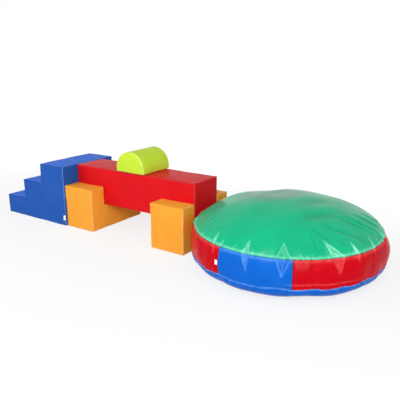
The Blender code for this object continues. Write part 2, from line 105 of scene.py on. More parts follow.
# Stitches are 4 mm long on the real covers, and drawn twice that so that they show
STITCH_LENGTH = 0.008
STITCH_PITCH = 0.012
STITCH_THICKNESS = 0.0009
STITCH_SIDES = 5
ON_SEAM = 0.0006

# Parts of a zip, in metres, with levels above the floor side of the zip
TAPE_HALF_WIDTH = 0.0145
TAPE_LEVELS = (0.0008, 0.0016)
# Coil teeth sit 1.5 mm apart on the real zip, and every third is drawn
TOOTH_PITCH = 0.0045
TOOTH_HALF_LENGTH = 0.0018
TOOTH_REACH = (0.0009, 0.0034)
TOOTH_LEVELS = (0.0001, 0.0012)

RANDOM = np.random.default_rng(11)


# Materials

def linear(code):
    """An sRGB hex code as linear RGBA."""
    shares = [int(code[start:start + 2], 16) / 255 for start in (0, 2, 4)]
    return tuple(s / 12.92 if s <= 0.04045 else ((s + 0.055) / 1.055) ** 2.4 for s in shares) + (1.0,)


def add(tree, kind, settings=(), inputs=()):
    """Adds a node with its own settings, and gives each named input a value or a link."""
    node = tree.nodes.new("ShaderNode" + kind)
    for name, value in dict(settings).items():
        setattr(node, name, value)
    for name, value in dict(inputs).items():
        if isinstance(value, bpy.types.NodeSocket):
            tree.links.new(value, node.inputs[name])
        else:
            node.inputs[name].default_value = value
    return node


def new_finish(name):
    """An empty material and its node tree."""
    finish = bpy.data.materials.new(name)
    finish.use_nodes = True
    finish.node_tree.nodes.clear()
    return finish, finish.node_tree


COLOUR = {"data_type": "RGBA"}
TIMES = {"operation": "MULTIPLY"}
PLUS = {"operation": "ADD"}


def coated_vinyl(name, colour, deep, dust_and_shade_colour, pale_wear_and_highlight, roughness, shine, grain_depth):
    """PVC laid on polyester cloth and calendered: an even satin skin, a faint pebble grain from the roller,
    slow clouds of tone, a darker colour in the seams and folds that is partly grime and partly painted shade,
    and a paler tone on edges and pinches that is partly worn and partly painted highlight."""
    finish, tree = new_finish(name)
    place = add(tree, "TexCoord").outputs["Object"]
    clouds = add(tree, "TexNoise",
                 inputs={"Vector": place, "Scale": 1 / 0.19, "Detail": 3.0, "Roughness": 0.55})
    streaks = add(tree, "TexNoise",
                  inputs={"Vector": place, "Scale": 1 / 0.035, "Detail": 4.0, "Roughness": 0.6})
    # the pebbles are about 1 mm on the roll, and drawn 3 mm wide so that they show
    pebbles = add(tree, "TexVoronoi", {"feature": "SMOOTH_F1"},
                  {"Vector": place, "Scale": 1 / 0.003, "Smoothness": 0.8})
    # colours from the mesh: a darker one, partly grime and partly painted shade, and a paler one, partly worn
    # and partly painted highlight
    fold = add(tree, "Attribute", {"attribute_name": "seam"}).outputs["Fac"]
    wear_and_highlight = add(tree, "Attribute", {"attribute_name": "wear_and_highlight"}).outputs["Fac"]
    cloudy = add(tree, "MapRange", inputs={"Value": clouds.outputs["Fac"], "From Min": 0.35, "From Max": 0.7,
                                           "To Max": 0.42})
    toned = add(tree, "Mix", COLOUR, {0: cloudy.outputs[0], 6: linear(colour), 7: linear(deep)})
    # darker seams and folds: grime and painted shade
    dust_and_shade = add(tree, "MapRange", inputs={"Value": fold, "To Max": 0.85})
    dusted_and_shaded = add(tree, "Mix", COLOUR, {0: dust_and_shade.outputs[0], 6: toned.outputs[2], 7: linear(dust_and_shade_colour)})
    uneven = add(tree, "MapRange", inputs={"Value": streaks.outputs["Fac"], "From Min": 0.35,
                                           "From Max": 0.65, "To Min": 0.3, "To Max": 0.85})
    # paler edges, pinches and rims: worn cloth and painted highlight, broken up by streaks
    worn = add(tree, "Math", TIMES, {0: wear_and_highlight, 1: uneven.outputs[0]})
    skin = add(tree, "Mix", COLOUR, {0: worn.outputs[0], 6: dusted_and_shaded.outputs[2], 7: linear(pale_wear_and_highlight)})
    satin = add(tree, "MapRange", inputs={"Value": streaks.outputs["Fac"], "From Min": 0.3, "From Max": 0.7,
                                          "To Min": roughness - 0.05, "To Max": roughness + 0.08})
    bump = add(tree, "Bump", inputs={"Strength": 0.35, "Distance": grain_depth,
                                     "Height": pebbles.outputs["Distance"]})
    shader = add(tree, "BsdfPrincipled", inputs={
        "IOR": 1.53, "Specular IOR Level": shine, "Base Color": skin.outputs[2],
        "Roughness": satin.outputs[0], "Normal": bump.outputs["Normal"]})
    add(tree, "OutputMaterial", inputs={"Surface": shader.outputs["BSDF"]})
    return finish


def woven_polyester(name, colour, deep, thread):
    """Polyester threads woven flat: a matt cloth with a fine over and under grid."""
    finish, tree = new_finish(name)
    place = add(tree, "TexCoord").outputs["Object"]
    warp, weft, rise = (add(tree, "TexWave", {"bands_direction": axis},
                            {"Vector": place, "Scale": 1 / (thread * 6.3)}).outputs["Fac"] for axis in "XYZ")
    grid = add(tree, "Math", TIMES, {0: warp, 1: weft})
    weave = add(tree, "Math", PLUS, {0: grid.outputs[0], 1: rise}).outputs[0]
    raised = add(tree, "MapRange", inputs={"Value": weave, "From Min": 0.2, "From Max": 1.5})
    cloth = add(tree, "Mix", COLOUR, {0: raised.outputs[0], 6: linear(deep), 7: linear(colour)})
    matt = add(tree, "MapRange", inputs={"Value": weave, "From Max": 2.0, "To Min": 0.75, "To Max": 0.9})
    bump = add(tree, "Bump", inputs={"Strength": 0.5, "Distance": 0.0002, "Height": weave})
    shader = add(tree, "BsdfPrincipled", inputs={
        "IOR": 1.5, "Sheen Weight": 0.25, "Sheen Roughness": 0.5, "Base Color": cloth.outputs[2],
        "Roughness": matt.outputs[0], "Normal": bump.outputs["Normal"]})
    add(tree, "OutputMaterial", inputs={"Surface": shader.outputs["BSDF"]})
    return finish


def twisted_thread(name, colour, deep):
    """Bonded polyester sewing thread: a soft shine broken by its twist, a shade off the vinyl's colour."""
    finish, tree = new_finish(name)
    place = add(tree, "TexCoord").outputs["Object"]
    twist = add(tree, "TexWave", {"bands_direction": "DIAGONAL"}, {"Vector": place, "Scale": 1 / 0.004})
    yarn = add(tree, "Mix", COLOUR, {0: twist.outputs["Fac"], 6: linear(deep), 7: linear(colour)})
    soft = add(tree, "MapRange", inputs={"Value": twist.outputs["Fac"], "To Min": 0.62, "To Max": 0.45})
    shader = add(tree, "BsdfPrincipled", inputs={
        "IOR": 1.5, "Sheen Weight": 0.2, "Base Color": yarn.outputs[2], "Roughness": soft.outputs[0]})
    add(tree, "OutputMaterial", inputs={"Surface": shader.outputs["BSDF"]})
    return finish


def moulded_nylon(name, colour, deep):
    """Nylon drawn into a coil: hard, smooth teeth with a low shine."""
    finish, tree = new_finish(name)
    place = add(tree, "TexCoord").outputs["Object"]
    flow = add(tree, "TexNoise", inputs={"Vector": place, "Scale": 1 / 0.006, "Detail": 2.0})
    nylon = add(tree, "Mix", COLOUR, {0: flow.outputs["Fac"], 6: linear(deep), 7: linear(colour)})
    smooth = add(tree, "MapRange", inputs={"Value": flow.outputs["Fac"], "To Min": 0.38, "To Max": 0.5})
    shader = add(tree, "BsdfPrincipled", inputs={"IOR": 1.53, "Base Color": nylon.outputs[2],
                                                 "Roughness": smooth.outputs[0]})
    add(tree, "OutputMaterial", inputs={"Surface": shader.outputs["BSDF"]})
    return finish


def cast_zinc(name, colour, bare):
    """Zinc alloy cast and lacquered: dark enamel, worn to bare metal on its rims."""
    finish, tree = new_finish(name)
    place = add(tree, "TexCoord").outputs["Object"]
    scuffs = add(tree, "TexNoise", inputs={"Vector": place, "Scale": 1 / 0.0025, "Detail": 4.0})
    bared = add(tree, "MapRange", inputs={"Value": scuffs.outputs["Fac"], "From Min": 0.56, "From Max": 0.66})
    metal = add(tree, "Mix", COLOUR, {0: bared.outputs[0], 6: linear(colour), 7: linear(bare)})
    polish = add(tree, "MapRange", inputs={"Value": scuffs.outputs["Fac"], "To Min": 0.3, "To Max": 0.48})
    shader = add(tree, "BsdfPrincipled", inputs={
        "Coat Weight": 0.3, "Coat Roughness": 0.2, "Base Color": metal.outputs[2],
        "Metallic": bared.outputs[0], "Roughness": polish.outputs[0]})
    add(tree, "OutputMaterial", inputs={"Surface": shader.outputs["BSDF"]})
    return finish


# Each vinyl: its colour, a deeper tone, a darker seam colour of grime and painted shade, and a paler colour
# of worn cloth and painted highlight
BLUE_VINYL = coated_vinyl("blue_coated_vinyl", "2A5CB2", "23509C", "0C1E50", "7CA8F0", 0.42, 0.02, 0.0001)
# a brighter copy of the blue vinyl for the steps' tops: painted light, standing in for more light falling on
# them
PAINTED_LIGHT_TREAD_VINYL = coated_vinyl("blue_tread_vinyl_painted_light", "3674E0", "2F69D0", "0C1E50", "7CA8F0", 0.42, 0.02, 0.0001)
RED_VINYL = coated_vinyl("red_coated_vinyl", "DA141C", "C00C18", "78060E", "FA5650", 0.38, 0.055, 0.0001)
ORANGE_VINYL = coated_vinyl("orange_coated_vinyl", "F0A43A", "E69A2E", "A86008", "FFDC98", 0.44, 0.05, 0.0001)
LIME_VINYL = coated_vinyl("lime_coated_vinyl", "C6E43C", "B8DA34", "82A018", "F4FFA6", 0.40, 0.08, 0.0001)
GREEN_GLOSS = coated_vinyl("green_gloss_vinyl", "10B684", "0A9E70", "066046", "92F0D0", 0.20, 0.105, 0.00002)
RED_GLOSS = coated_vinyl("red_gloss_vinyl", "C80619", "AC0516", "760612", "F4605C", 0.24, 0.03, 0.00002)
BLUE_GLOSS = coated_vinyl("blue_gloss_vinyl", "0A62C8", "0656B4", "06408C", "64AAF6", 0.22, 0.06, 0.00002)
THREADS = {
    "blue": twisted_thread("blue_thread", "6A9CEC", "3A6CCC"),
    "red": twisted_thread("red_thread", "F0484A", "B01822"),
    "orange": twisted_thread("orange_thread", "FFC060", "D08020"),
    "lime": twisted_thread("lime_thread", "DDF870", "96BE28"),
    "green": twisted_thread("green_thread", "5CD8AC", "148C66"),
}
ZIP_CLOTH = woven_polyester("zip_tape_cloth", "4A4E52", "26292C", 0.0006)
LABEL_CLOTH = woven_polyester("label_satin", "FFFFFF", "F2F2F2", 0.0005)
COIL_NYLON = moulded_nylon("coil_nylon", "3A3D42", "24262A")
SLIDER_ZINC = cast_zinc("lacquered_zinc", "2C2E32", "B8BABD")


# Meshes

def span(*nodes):
    """Lowest and highest corner of several CAD nodes together."""
    boxes = [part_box(node) for node in nodes]
    return np.min([b[0] for b in boxes], axis=0), np.max([b[1] for b in boxes], axis=0)


def lengths(rows):
    """The length of each row, kept as a column."""
    return np.linalg.norm(rows, axis=-1, keepdims=True)


def smooth_step(value):
    """0 below 0, 1 above 1 and a smooth rise between."""
    held = np.clip(value, 0.0, 1.0)
    return held * held * (3 - 2 * held)


def distance_along(points):
    """How far along a line of points each of them lies."""
    return np.insert(np.cumsum(np.linalg.norm(np.diff(points, axis=0), axis=1)), 0, 0.0)


def degrees_past(angle, place):
    """Degrees from a place to an angle, the short way round."""
    return (angle - place + 180) % 360 - 180


def seam_press(gap, seam):
    """How deep a seam's fold presses in at a distance from its stitches, less the lip beside it."""
    deep, half_width, lip, lip_place, lip_half_width = seam
    return deep * np.exp(-(gap / half_width) ** 2) - lip * np.exp(-((gap - lip_place) / lip_half_width) ** 2)


def crease_press(points, crease, shape):
    """How deep a soft crease presses in at each point. It is given by both its ends in metres, and its half
    width and depth in mm."""
    start, end, wide, deep = crease
    flat_end, power, lip_place, lip_half_width = shape
    run = np.subtract(end, start)
    share = np.clip((points - start) @ run / (run @ run), 0, 1)
    gap = np.linalg.norm(points - (start + share[..., None] * run), axis=-1) / (wide / 1000)
    body = np.sin(math.pi * np.clip(share, flat_end, 1 - flat_end)) ** power
    return deep / 1000 * body * (np.exp(-gap ** 2) - 0.4 * np.exp(-((gap - lip_place) / lip_half_width) ** 2))


def new_piece(name, points, faces, *finishes):
    """A smooth-shaded mesh object from points and faces."""
    mesh = bpy.data.meshes.new(name)
    mesh.from_pydata(np.asarray(points).tolist(), [], [list(map(int, face)) for face in faces])
    mesh.polygons.foreach_set("use_smooth", [True] * len(mesh.polygons))
    for finish in finishes:
        mesh.materials.append(finish)
    piece = bpy.data.objects.new(name, mesh)
    bpy.context.scene.collection.objects.link(piece)
    return piece


def keep_values(piece, name, values):
    """Keeps one number for each point, for the material to read."""
    layer = piece.data.attributes.new(name, "FLOAT", "POINT")
    layer.data.foreach_set("value", np.asarray(values, np.float32))


def apply_modifiers(piece):
    """Turns what the modifiers make into the piece's own mesh."""
    graph = bpy.context.evaluated_depsgraph_get()
    made = bpy.data.meshes.new_from_object(piece.evaluated_get(graph), depsgraph=graph)
    piece.modifiers.clear()
    piece.data = made


def crisp_edges(piece, angle):
    """Marks edges sharper than angle, in degrees, so that they don't shade as if they were round."""
    mesh = piece.data
    normals = np.array([p.normal[:] for p in mesh.polygons])
    first = {}
    sharp = np.zeros(len(mesh.edges), bool)
    limit = math.cos(math.radians(angle))
    for polygon in mesh.polygons:
        for loop in polygon.loop_indices:
            edge = mesh.loops[loop].edge_index
            if edge in first:
                sharp[edge] = normals[first[edge]] @ normals[polygon.index] < limit
            else:
                first[edge] = polygon.index
    mesh.edges.foreach_set("use_edge_sharp", sharp)


def cut_slot(piece, low, high):
    """Cuts a box-shaped recess from low to high out of a piece."""
    corners = [[(low, high)[(corner >> axis) & 1][axis] for axis in range(3)] for corner in range(8)]
    sides = [(0, 2, 3, 1), (4, 5, 7, 6), (0, 1, 5, 4), (2, 6, 7, 3), (0, 4, 6, 2), (1, 3, 7, 5)]
    tool = new_piece("slot_tool", corners, sides)
    cut = piece.modifiers.new("slot", "BOOLEAN")
    cut.operation = "DIFFERENCE"
    cut.solver = "EXACT"
    cut.object = tool
    bpy.context.view_layer.update()
    apply_modifiers(piece)
    bpy.data.objects.remove(tool)


def waves(along, seed, sizes):
    """A wandering line between about -1 and 1 along a seam, made of waves of the given sizes."""
    draw = np.random.default_rng(seed)
    total = sum(np.sin(2 * math.pi * along / size + draw.uniform(0, 6.28)) for size in sizes)
    return total / math.sqrt(len(sizes) * 1.4)


def sway(points, seed, size):
    """Slow, uneven swells of the filling under the cover, between about -1 and 1."""
    draw = np.random.default_rng(seed)
    total = np.zeros(len(points))
    for _ in range(14):
        direction = draw.normal(size=3)
        direction *= 2 * math.pi / (size * draw.uniform(0.6, 1.6) * np.linalg.norm(direction))
        total += np.sin(points @ direction + draw.uniform(0, 6.28))
    return total / 5


def settled(moves, quads, rounds):
    """Moves averaged with those of each point's neighbours."""
    edges = np.unique(np.sort(np.concatenate([quads[:, [i, (i + 1) % 4]] for i in range(4)]), axis=1), axis=0)
    count = np.bincount(edges.ravel(), minlength=len(moves))[:, None]
    for _ in range(rounds):
        total = np.zeros_like(moves)
        np.add.at(total, edges[:, 0], moves[edges[:, 1]])
        np.add.at(total, edges[:, 1], moves[edges[:, 0]])
        moves = moves * 0.5 + total / count * 0.5
    return moves


def swell_as_cloth(starts, frames=20):
    """Blows each closed skin up as cloth from within, with shrunken seams, and gives how far its points
    moved."""
    skins = {}
    for name, start in starts.items():
        skin = new_piece("skin_" + name, start["points"], start["faces"])
        seams = skin.vertex_groups.new(name="seams")
        for point, weight in enumerate(start["seam"]):
            if weight > 0.02:
                seams.add([point], float(weight), "REPLACE")
        cloth = skin.modifiers.new("cloth", "CLOTH")
        rules = cloth.settings
        rules.quality = 6
        rules.mass = 0.3
        rules.tension_stiffness = 25
        rules.compression_stiffness = 25
        rules.shear_stiffness = 10
        rules.bending_stiffness = 0.6
        rules.use_pressure = True
        rules.uniform_pressure_force = start["pressure"]
        rules.effector_weights.gravity = 0
        rules.vertex_group_shrink = "seams"
        rules.shrink_min = 0.0
        rules.shrink_max = start["shrink"]
        cloth.collision_settings.use_collision = False
        cloth.collision_settings.use_self_collision = False
        cloth.point_cache.frame_start = 1
        cloth.point_cache.frame_end = frames
        skins[name] = skin
    for number in range(1, frames + 1):
        bpy.context.scene.frame_set(number)
    graph = bpy.context.evaluated_depsgraph_get()
    moves = {}
    for name, skin in skins.items():
        moved = np.empty(len(skin.data.vertices) * 3)
        skin.evaluated_get(graph).data.vertices.foreach_get("co", moved)
        move = moved.reshape(-1, 3) - starts[name]["points"]
        move -= move.mean(axis=0)
        most = np.percentile(lengths(move), 96)
        limit = starts[name]["limit"]
        move *= min(1.0, limit / most)
        moves[name] = move * np.minimum(1.0, limit / np.maximum(lengths(move), 1e-9))
    bpy.context.scene.frame_set(1)
    for skin in skins.values():
        bpy.data.objects.remove(skin)
    return moves


# Covers of the blocks

def lattice_lines(stops):
    """Lattice lines that are close together beside every stop and about one cell apart between."""
    lines = set()
    for low, high in zip(stops, stops[1:]):
        near = [offset for offset in EDGE_OFFSETS if offset < (high - low) / 2 - 0.003]
        inner_low, inner_high = low + near[-1], high - near[-1]
        reach = inner_high - inner_low
        cells = max(1, round(reach / LATTICE_CELL))
        lines.update(round(low + offset, 7) for offset in near)
        lines.update(round(high - offset, 7) for offset in near)
        lines.update(round(inner_low + reach * cell / cells, 7) for cell in range(cells + 1))
    return np.array(sorted(lines))


def halved(lines):
    """Lattice lines with one more line halfway between each two."""
    finer = np.empty(2 * len(lines) - 1)
    finer[::2] = lines
    finer[1::2] = (lines[1:] + lines[:-1]) / 2
    return finer


def skin_of(lines, holds):
    """Lattice numbers of the points and the outward faces between filled cells and empty ones."""
    centres = [(line[1:] + line[:-1]) / 2 for line in lines]
    cells = np.stack(np.meshgrid(*centres, indexing="ij"), axis=-1)
    filled = holds(cells.reshape(-1, 3)).reshape(cells.shape[:3])
    ringed = np.pad(filled, 1)
    faces = []
    for axis in range(3):
        along, across = np.eye(3, dtype=int)[(axis + 1) % 3], np.eye(3, dtype=int)[(axis + 2) % 3]
        for upper in (0, 1):
            beyond = np.roll(ringed, -1 if upper else 1, axis)[1:-1, 1:-1, 1:-1]
            corner = np.argwhere(filled & ~beyond)
            corner[:, axis] += upper
            ring = [corner, corner + along, corner + along + across, corner + across]
            faces.append(np.stack(ring if upper else ring[::-1], axis=1))
    corners, numbers = np.unique(np.concatenate(faces).reshape(-1, 3), axis=0, return_inverse=True)
    return corners, numbers.reshape(-1, 4)


def in_boxes(boxes):
    """A test of which points any of the boxes holds."""
    def holds(points):
        inside = np.zeros(len(points), bool)
        for low, high in boxes:
            inside |= np.all((points > low) & (points < high), axis=1)
        return inside
    return holds


def nearest_in_boxes(boxes):
    """A function that gives each point's nearest place an edge radius deep in the boxes."""
    def nearest(points):
        best = None
        for low, high in boxes:
            place = np.clip(points, np.add(low, EDGE_RADIUS), np.subtract(high, EDGE_RADIUS))
            gap = lengths(points - place)
            if best is None:
                best, least = place, gap
            closer = gap < least - 1e-9
            best, least = np.where(closer, place, best), np.where(closer, gap, least)
        return best
    return nearest


def seam_distance(points, seams):
    """Each point's distance to its nearest seam, its place along that seam, the seam's number, and how
    upright the seam is where it is long, from 0 to 1."""
    distance = np.full(len(points), 9.0)
    along, upright = np.zeros(len(points)), np.zeros(len(points))
    number = np.zeros(len(points), int)
    for index, seam in enumerate(seams):
        passed = 0.0
        for start, end in zip(seam, seam[1:]):
            run = np.subtract(end, start)
            reach = np.linalg.norm(run)
            if reach < 1e-9:
                continue
            share = np.clip((points - start) @ run / reach ** 2, 0, 1)
            gap = np.linalg.norm(points - (start + share[:, None] * run), axis=1)
            closer = gap < distance - 1e-7
            distance[closer] = gap[closer]
            along[closer] = passed + share[closer] * reach
            number[closer] = index
            upright[closer] = abs(run[2]) / reach if reach > 0.25 else 0.0
            passed += reach
    return distance, along, number, upright


def rest_share(points, neighbours):
    """How free each point is to swell: 0 against the floor or a neighbour, 1 well away from them."""
    gap = points[:, 2].copy()
    for low, high in neighbours:
        outside = np.maximum(np.maximum(np.subtract(low, points), points - high), 0)
        gap = np.minimum(gap, np.linalg.norm(outside, axis=1))
    return smooth_step(gap / REST_MARGIN)


def gathered_seam(distance, along, number):
    """How far a seam draws the cover in: a fold along the stitches, small lips and soft gathers beside it."""
    drawn = 0.5 + 0.5 * waves(along + number * 0.37, 5, (0.037, 0.051, 0.083, 0.19))
    return -seam_press(distance, BLOCK_SEAM) - SEAM_GATHER * np.exp(-distance / GATHER_REACH) * drawn


def straight_seam(start, end):
    """A seam in one straight run."""
    return [np.array(start, float), np.array(end, float)]


def outline_seam(points, axis, value):
    """A closed seam round a panel: its outline, set at value on axis."""
    return [np.insert(np.array(p, float), axis, value) for p in [*points, points[0]]]


BLOCKS = {}


def plan_block(name, lines, holds, flat, nearest, seams, seed, flat_wear_and_highlight):
    """Keeps how one block's cover is shaped, and the coarse skin that swells as cloth."""
    corners, faces = skin_of(lines, holds)
    sharp = flat(np.stack([lines[axis][corners[:, axis]] for axis in range(3)], axis=1))
    core = nearest(sharp)
    outward = (sharp - core) / lengths(sharp - core)
    distance = seam_distance(sharp, seams)[0]
    BLOCKS[name] = {
        "lines": lines, "holds": holds, "flat": flat, "nearest": nearest, "seams": seams, "seed": seed,
        "corners": corners, "flat_wear_and_highlight": flat_wear_and_highlight,
        "start": {"points": core + outward * (EDGE_RADIUS - FOAM_INSET), "faces": faces, "limit": BLOCK_SWELL,
                  "seam": np.exp(-(distance / 0.012) ** 2), "pressure": 5.0, "shrink": 0.035},
    }


def box_block(name, boxes, seams, seed, flat_wear_and_highlight):
    """Plans a cover for a block made of boxes."""
    stops = [sorted({round(float(v), 6) for box in boxes for v in (box[0][axis], box[1][axis])})
             for axis in range(3)]
    lines = [lattice_lines(stop) for stop in stops]
    plan_block(name, lines, in_boxes(boxes), lambda points: points, nearest_in_boxes(boxes), seams, seed,
               flat_wear_and_highlight)


def panels_of(name):
    """The CAD panels and foam that one block's cover stands for."""
    return sorted(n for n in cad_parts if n.startswith(name + "_") and ("panel" in n or "foam" in n))


def sew_block(name, moves, neighbours, finish):
    """The finished cover: the fine skin with its swelling, seams, gathers and sway."""
    plan = BLOCKS[name]
    lines = [halved(line) for line in plan["lines"]]
    corners, faces = skin_of(lines, plan["holds"])
    sharp = plan["flat"](np.stack([lines[axis][corners[:, axis]] for axis in range(3)], axis=1))
    core = plan["nearest"](sharp)
    outward = (sharp - core) / lengths(sharp - core)
    known = np.full([len(line) for line in plan["lines"]], -1)
    known[tuple(plan["corners"].T)] = np.arange(len(plan["corners"]))
    move, found = np.zeros((len(corners), 3)), np.zeros(len(corners))
    for choice in range(8):
        pick = (corners + [(choice >> axis) & 1 for axis in range(3)]) // 2
        parent = known[tuple(pick.T)]
        move[parent >= 0] += moves[parent[parent >= 0]]
        found += parent >= 0
    move = settled(move / found[:, None], faces, 3)
    distance, along, number, upright = seam_distance(sharp, plan["seams"])
    swell = np.sum(move * outward, axis=1) - FOAM_INSET
    swell += gathered_seam(distance, along, number) + SWAY_DEPTH * sway(sharp, plan["seed"], SWAY_LENGTH)
    for crease in DRAG_CREASES.get(name, ()):
        swell -= crease_press(sharp, crease, BLOCK_CREASE)
    swell = np.where(swell > 0, swell * rest_share(sharp, neighbours), swell)
    slide = move - np.sum(move * outward, axis=1)[:, None] * outward
    points = core + outward * (EDGE_RADIUS + swell[:, None]) + slide * 0.5
    points[:, 2] = np.maximum(points[:, 2], sharp[:, 2].min())
    cover = new_piece(name + "_cover", points, faces, finish)
    # long standing edges are paler, partly worn and partly painted highlight; the others keep a darker seam,
    # partly grime and partly painted shade
    pale_wear_and_highlight = np.maximum(plan["flat_wear_and_highlight"], smooth_step(upright * 2.5 - 0.5))
    keep_values(cover, "seam", np.exp(-(distance / 0.0045) ** 2) * (1 - 0.85 * pale_wear_and_highlight))
    keep_values(cover, "wear_and_highlight", np.exp(-(distance / 0.0055) ** 2) * pale_wear_and_highlight)
    rows = []
    for index in range(len(plan["seams"])):
        on_seam = np.flatnonzero((distance < ON_SEAM) & (number == index))
        order = on_seam[np.argsort(along[on_seam])]
        rows.append((points[order], outward[order]))
    cut_zip_recess(cover, name, float(sharp[:, 2].min()), ZIP_RECESS_DEPTH)
    return cover, rows


def zip_run(name):
    """Corners of a zip's CAD box, and the axis that the zip runs along."""
    low, high = (np.array(corner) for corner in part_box(name + "_zip"))
    return low, high, 0 if high[0] - low[0] > high[1] - low[1] else 1


def cut_zip_recess(cover, name, base, depth):
    """Opens a cover along its zip, as wide as the folded edges leave it."""
    low, high, lengthways = zip_run(name)
    margins = [0.0, 0.0, 0.0]
    margins[lengthways] = ZIP_END_MARGIN
    margins[1 - lengthways] = (high[1 - lengthways] - low[1 - lengthways] - ZIP_SLOT_WIDTH) / 2
    slot_low = [low[0] + margins[0], low[1] + margins[1], base - 0.001]
    slot_high = [high[0] - margins[0], high[1] - margins[1], base + depth]
    cut_slot(cover, slot_low, slot_high)
    crisp_edges(cover, 50)


def stitches(name, rows, finish):
    """Rows of thread lying in the seams, one short bead for each stitch."""
    sides = STITCH_SIDES
    points, faces = [], []
    for path, outward in rows:
        if len(path) < 3:
            continue
        reach = distance_along(path)
        for centre in np.arange(STITCH_PITCH, reach[-1] - STITCH_PITCH, STITCH_PITCH):
            ends = [np.array([np.interp(centre + end * STITCH_LENGTH / 2, reach, path[:, axis])
                              for axis in range(3)]) for end in (-1, 1)]
            up = np.array([np.interp(centre, reach, outward[:, axis]) for axis in range(3)])
            run = ends[1] - ends[0]
            if np.linalg.norm(run) < STITCH_LENGTH * 0.5 or np.linalg.norm(up) < 0.3:
                continue
            run /= np.linalg.norm(run)
            side = np.cross(up, run)
            side /= np.linalg.norm(side)
            up = np.cross(run, side)
            middle = (ends[0] + ends[1]) / 2 + up * STITCH_THICKNESS * 0.35
            start = len(points)
            points.append(middle - run * STITCH_LENGTH / 2 - up * STITCH_THICKNESS * 0.5)
            for share in (-0.28, 0.28):
                for turn in range(sides):
                    angle = 2 * math.pi * turn / sides
                    points.append(middle + run * STITCH_LENGTH * share + STITCH_THICKNESS
                                  * (side * math.cos(angle) * 0.8 + up * math.sin(angle) * 0.8))
            points.append(middle + run * STITCH_LENGTH / 2 - up * STITCH_THICKNESS * 0.5)
            for turn in range(sides):
                a, b = start + 1 + turn, start + 1 + (turn + 1) % sides
                faces += [(start, b, a), (a, b, b + sides, a + sides),
                          (a + sides, b + sides, start + 2 * sides + 1)]
    return new_piece(name, points, faces, finish)


# Zips and labels

def add_box(points, faces, low, high, chamfer=0.0):
    """Adds a box with eight corners, its upper face drawn in by the chamfer."""
    start = len(points)
    for z, inset in ((low[2], 0.0), (high[2] - chamfer, 0.0), (high[2], chamfer)):
        points += [(low[0] + inset, low[1] + inset, z), (high[0] - inset, low[1] + inset, z),
                   (high[0] - inset, high[1] - inset, z), (low[0] + inset, high[1] - inset, z)]
    faces.append((start + 3, start + 2, start + 1, start))
    for level in (0, 4):
        for side in range(4):
            a, b = start + level + side, start + level + (side + 1) % 4
            faces.append((a, b, b + 4, a + 4))
    faces.append((start + 8, start + 9, start + 10, start + 11))


def placed(points, origin, along, across):
    """Points given as along, across and up from an origin, set in the frame there."""
    rows = np.array(points, float)
    up = np.array((0.0, 0.0, 1.0))
    return origin + rows[:, :1] * along + rows[:, 1:2] * across + rows[:, 2:] * up


def zip_of(name):
    """The zip in a base: a woven tape and two rows of interlocked coil teeth that face the floor."""
    low, high, lengthways = zip_run(name)
    along, across = np.eye(3)[lengthways], np.eye(3)[1 - lengthways]
    length = high[lengthways] - low[lengthways] - 0.001
    origin = (low + high) / 2
    origin[2] = low[2]
    points, faces = [], []
    add_box(points, faces, (-length / 2, -TAPE_HALF_WIDTH, TAPE_LEVELS[0]),
            (length / 2, TAPE_HALF_WIDTH, TAPE_LEVELS[1]), 0.0002)
    tape_faces = len(faces)
    for number in range(int((length - 2 * ZIP_END_MARGIN) / TOOTH_PITCH)):
        middle = -length / 2 + ZIP_END_MARGIN + (number + 0.5) * TOOTH_PITCH
        side = 1 if number % 2 else -1
        near, far = sorted((-TOOTH_REACH[0] * side, TOOTH_REACH[1] * side))
        add_box(points, faces, (middle - TOOTH_HALF_LENGTH, near, TOOTH_LEVELS[0]),
                (middle + TOOTH_HALF_LENGTH, far, TOOTH_LEVELS[1]), 0.0003)
    piece = new_piece(name + "_zip_chain", placed(points, origin, along, across), faces,
                      ZIP_CLOTH, COIL_NYLON)
    for polygon in piece.data.polygons[tape_faces:]:
        polygon.material_index = 1
    crisp_edges(piece, 35)
    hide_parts(name + "_zip")
    return piece


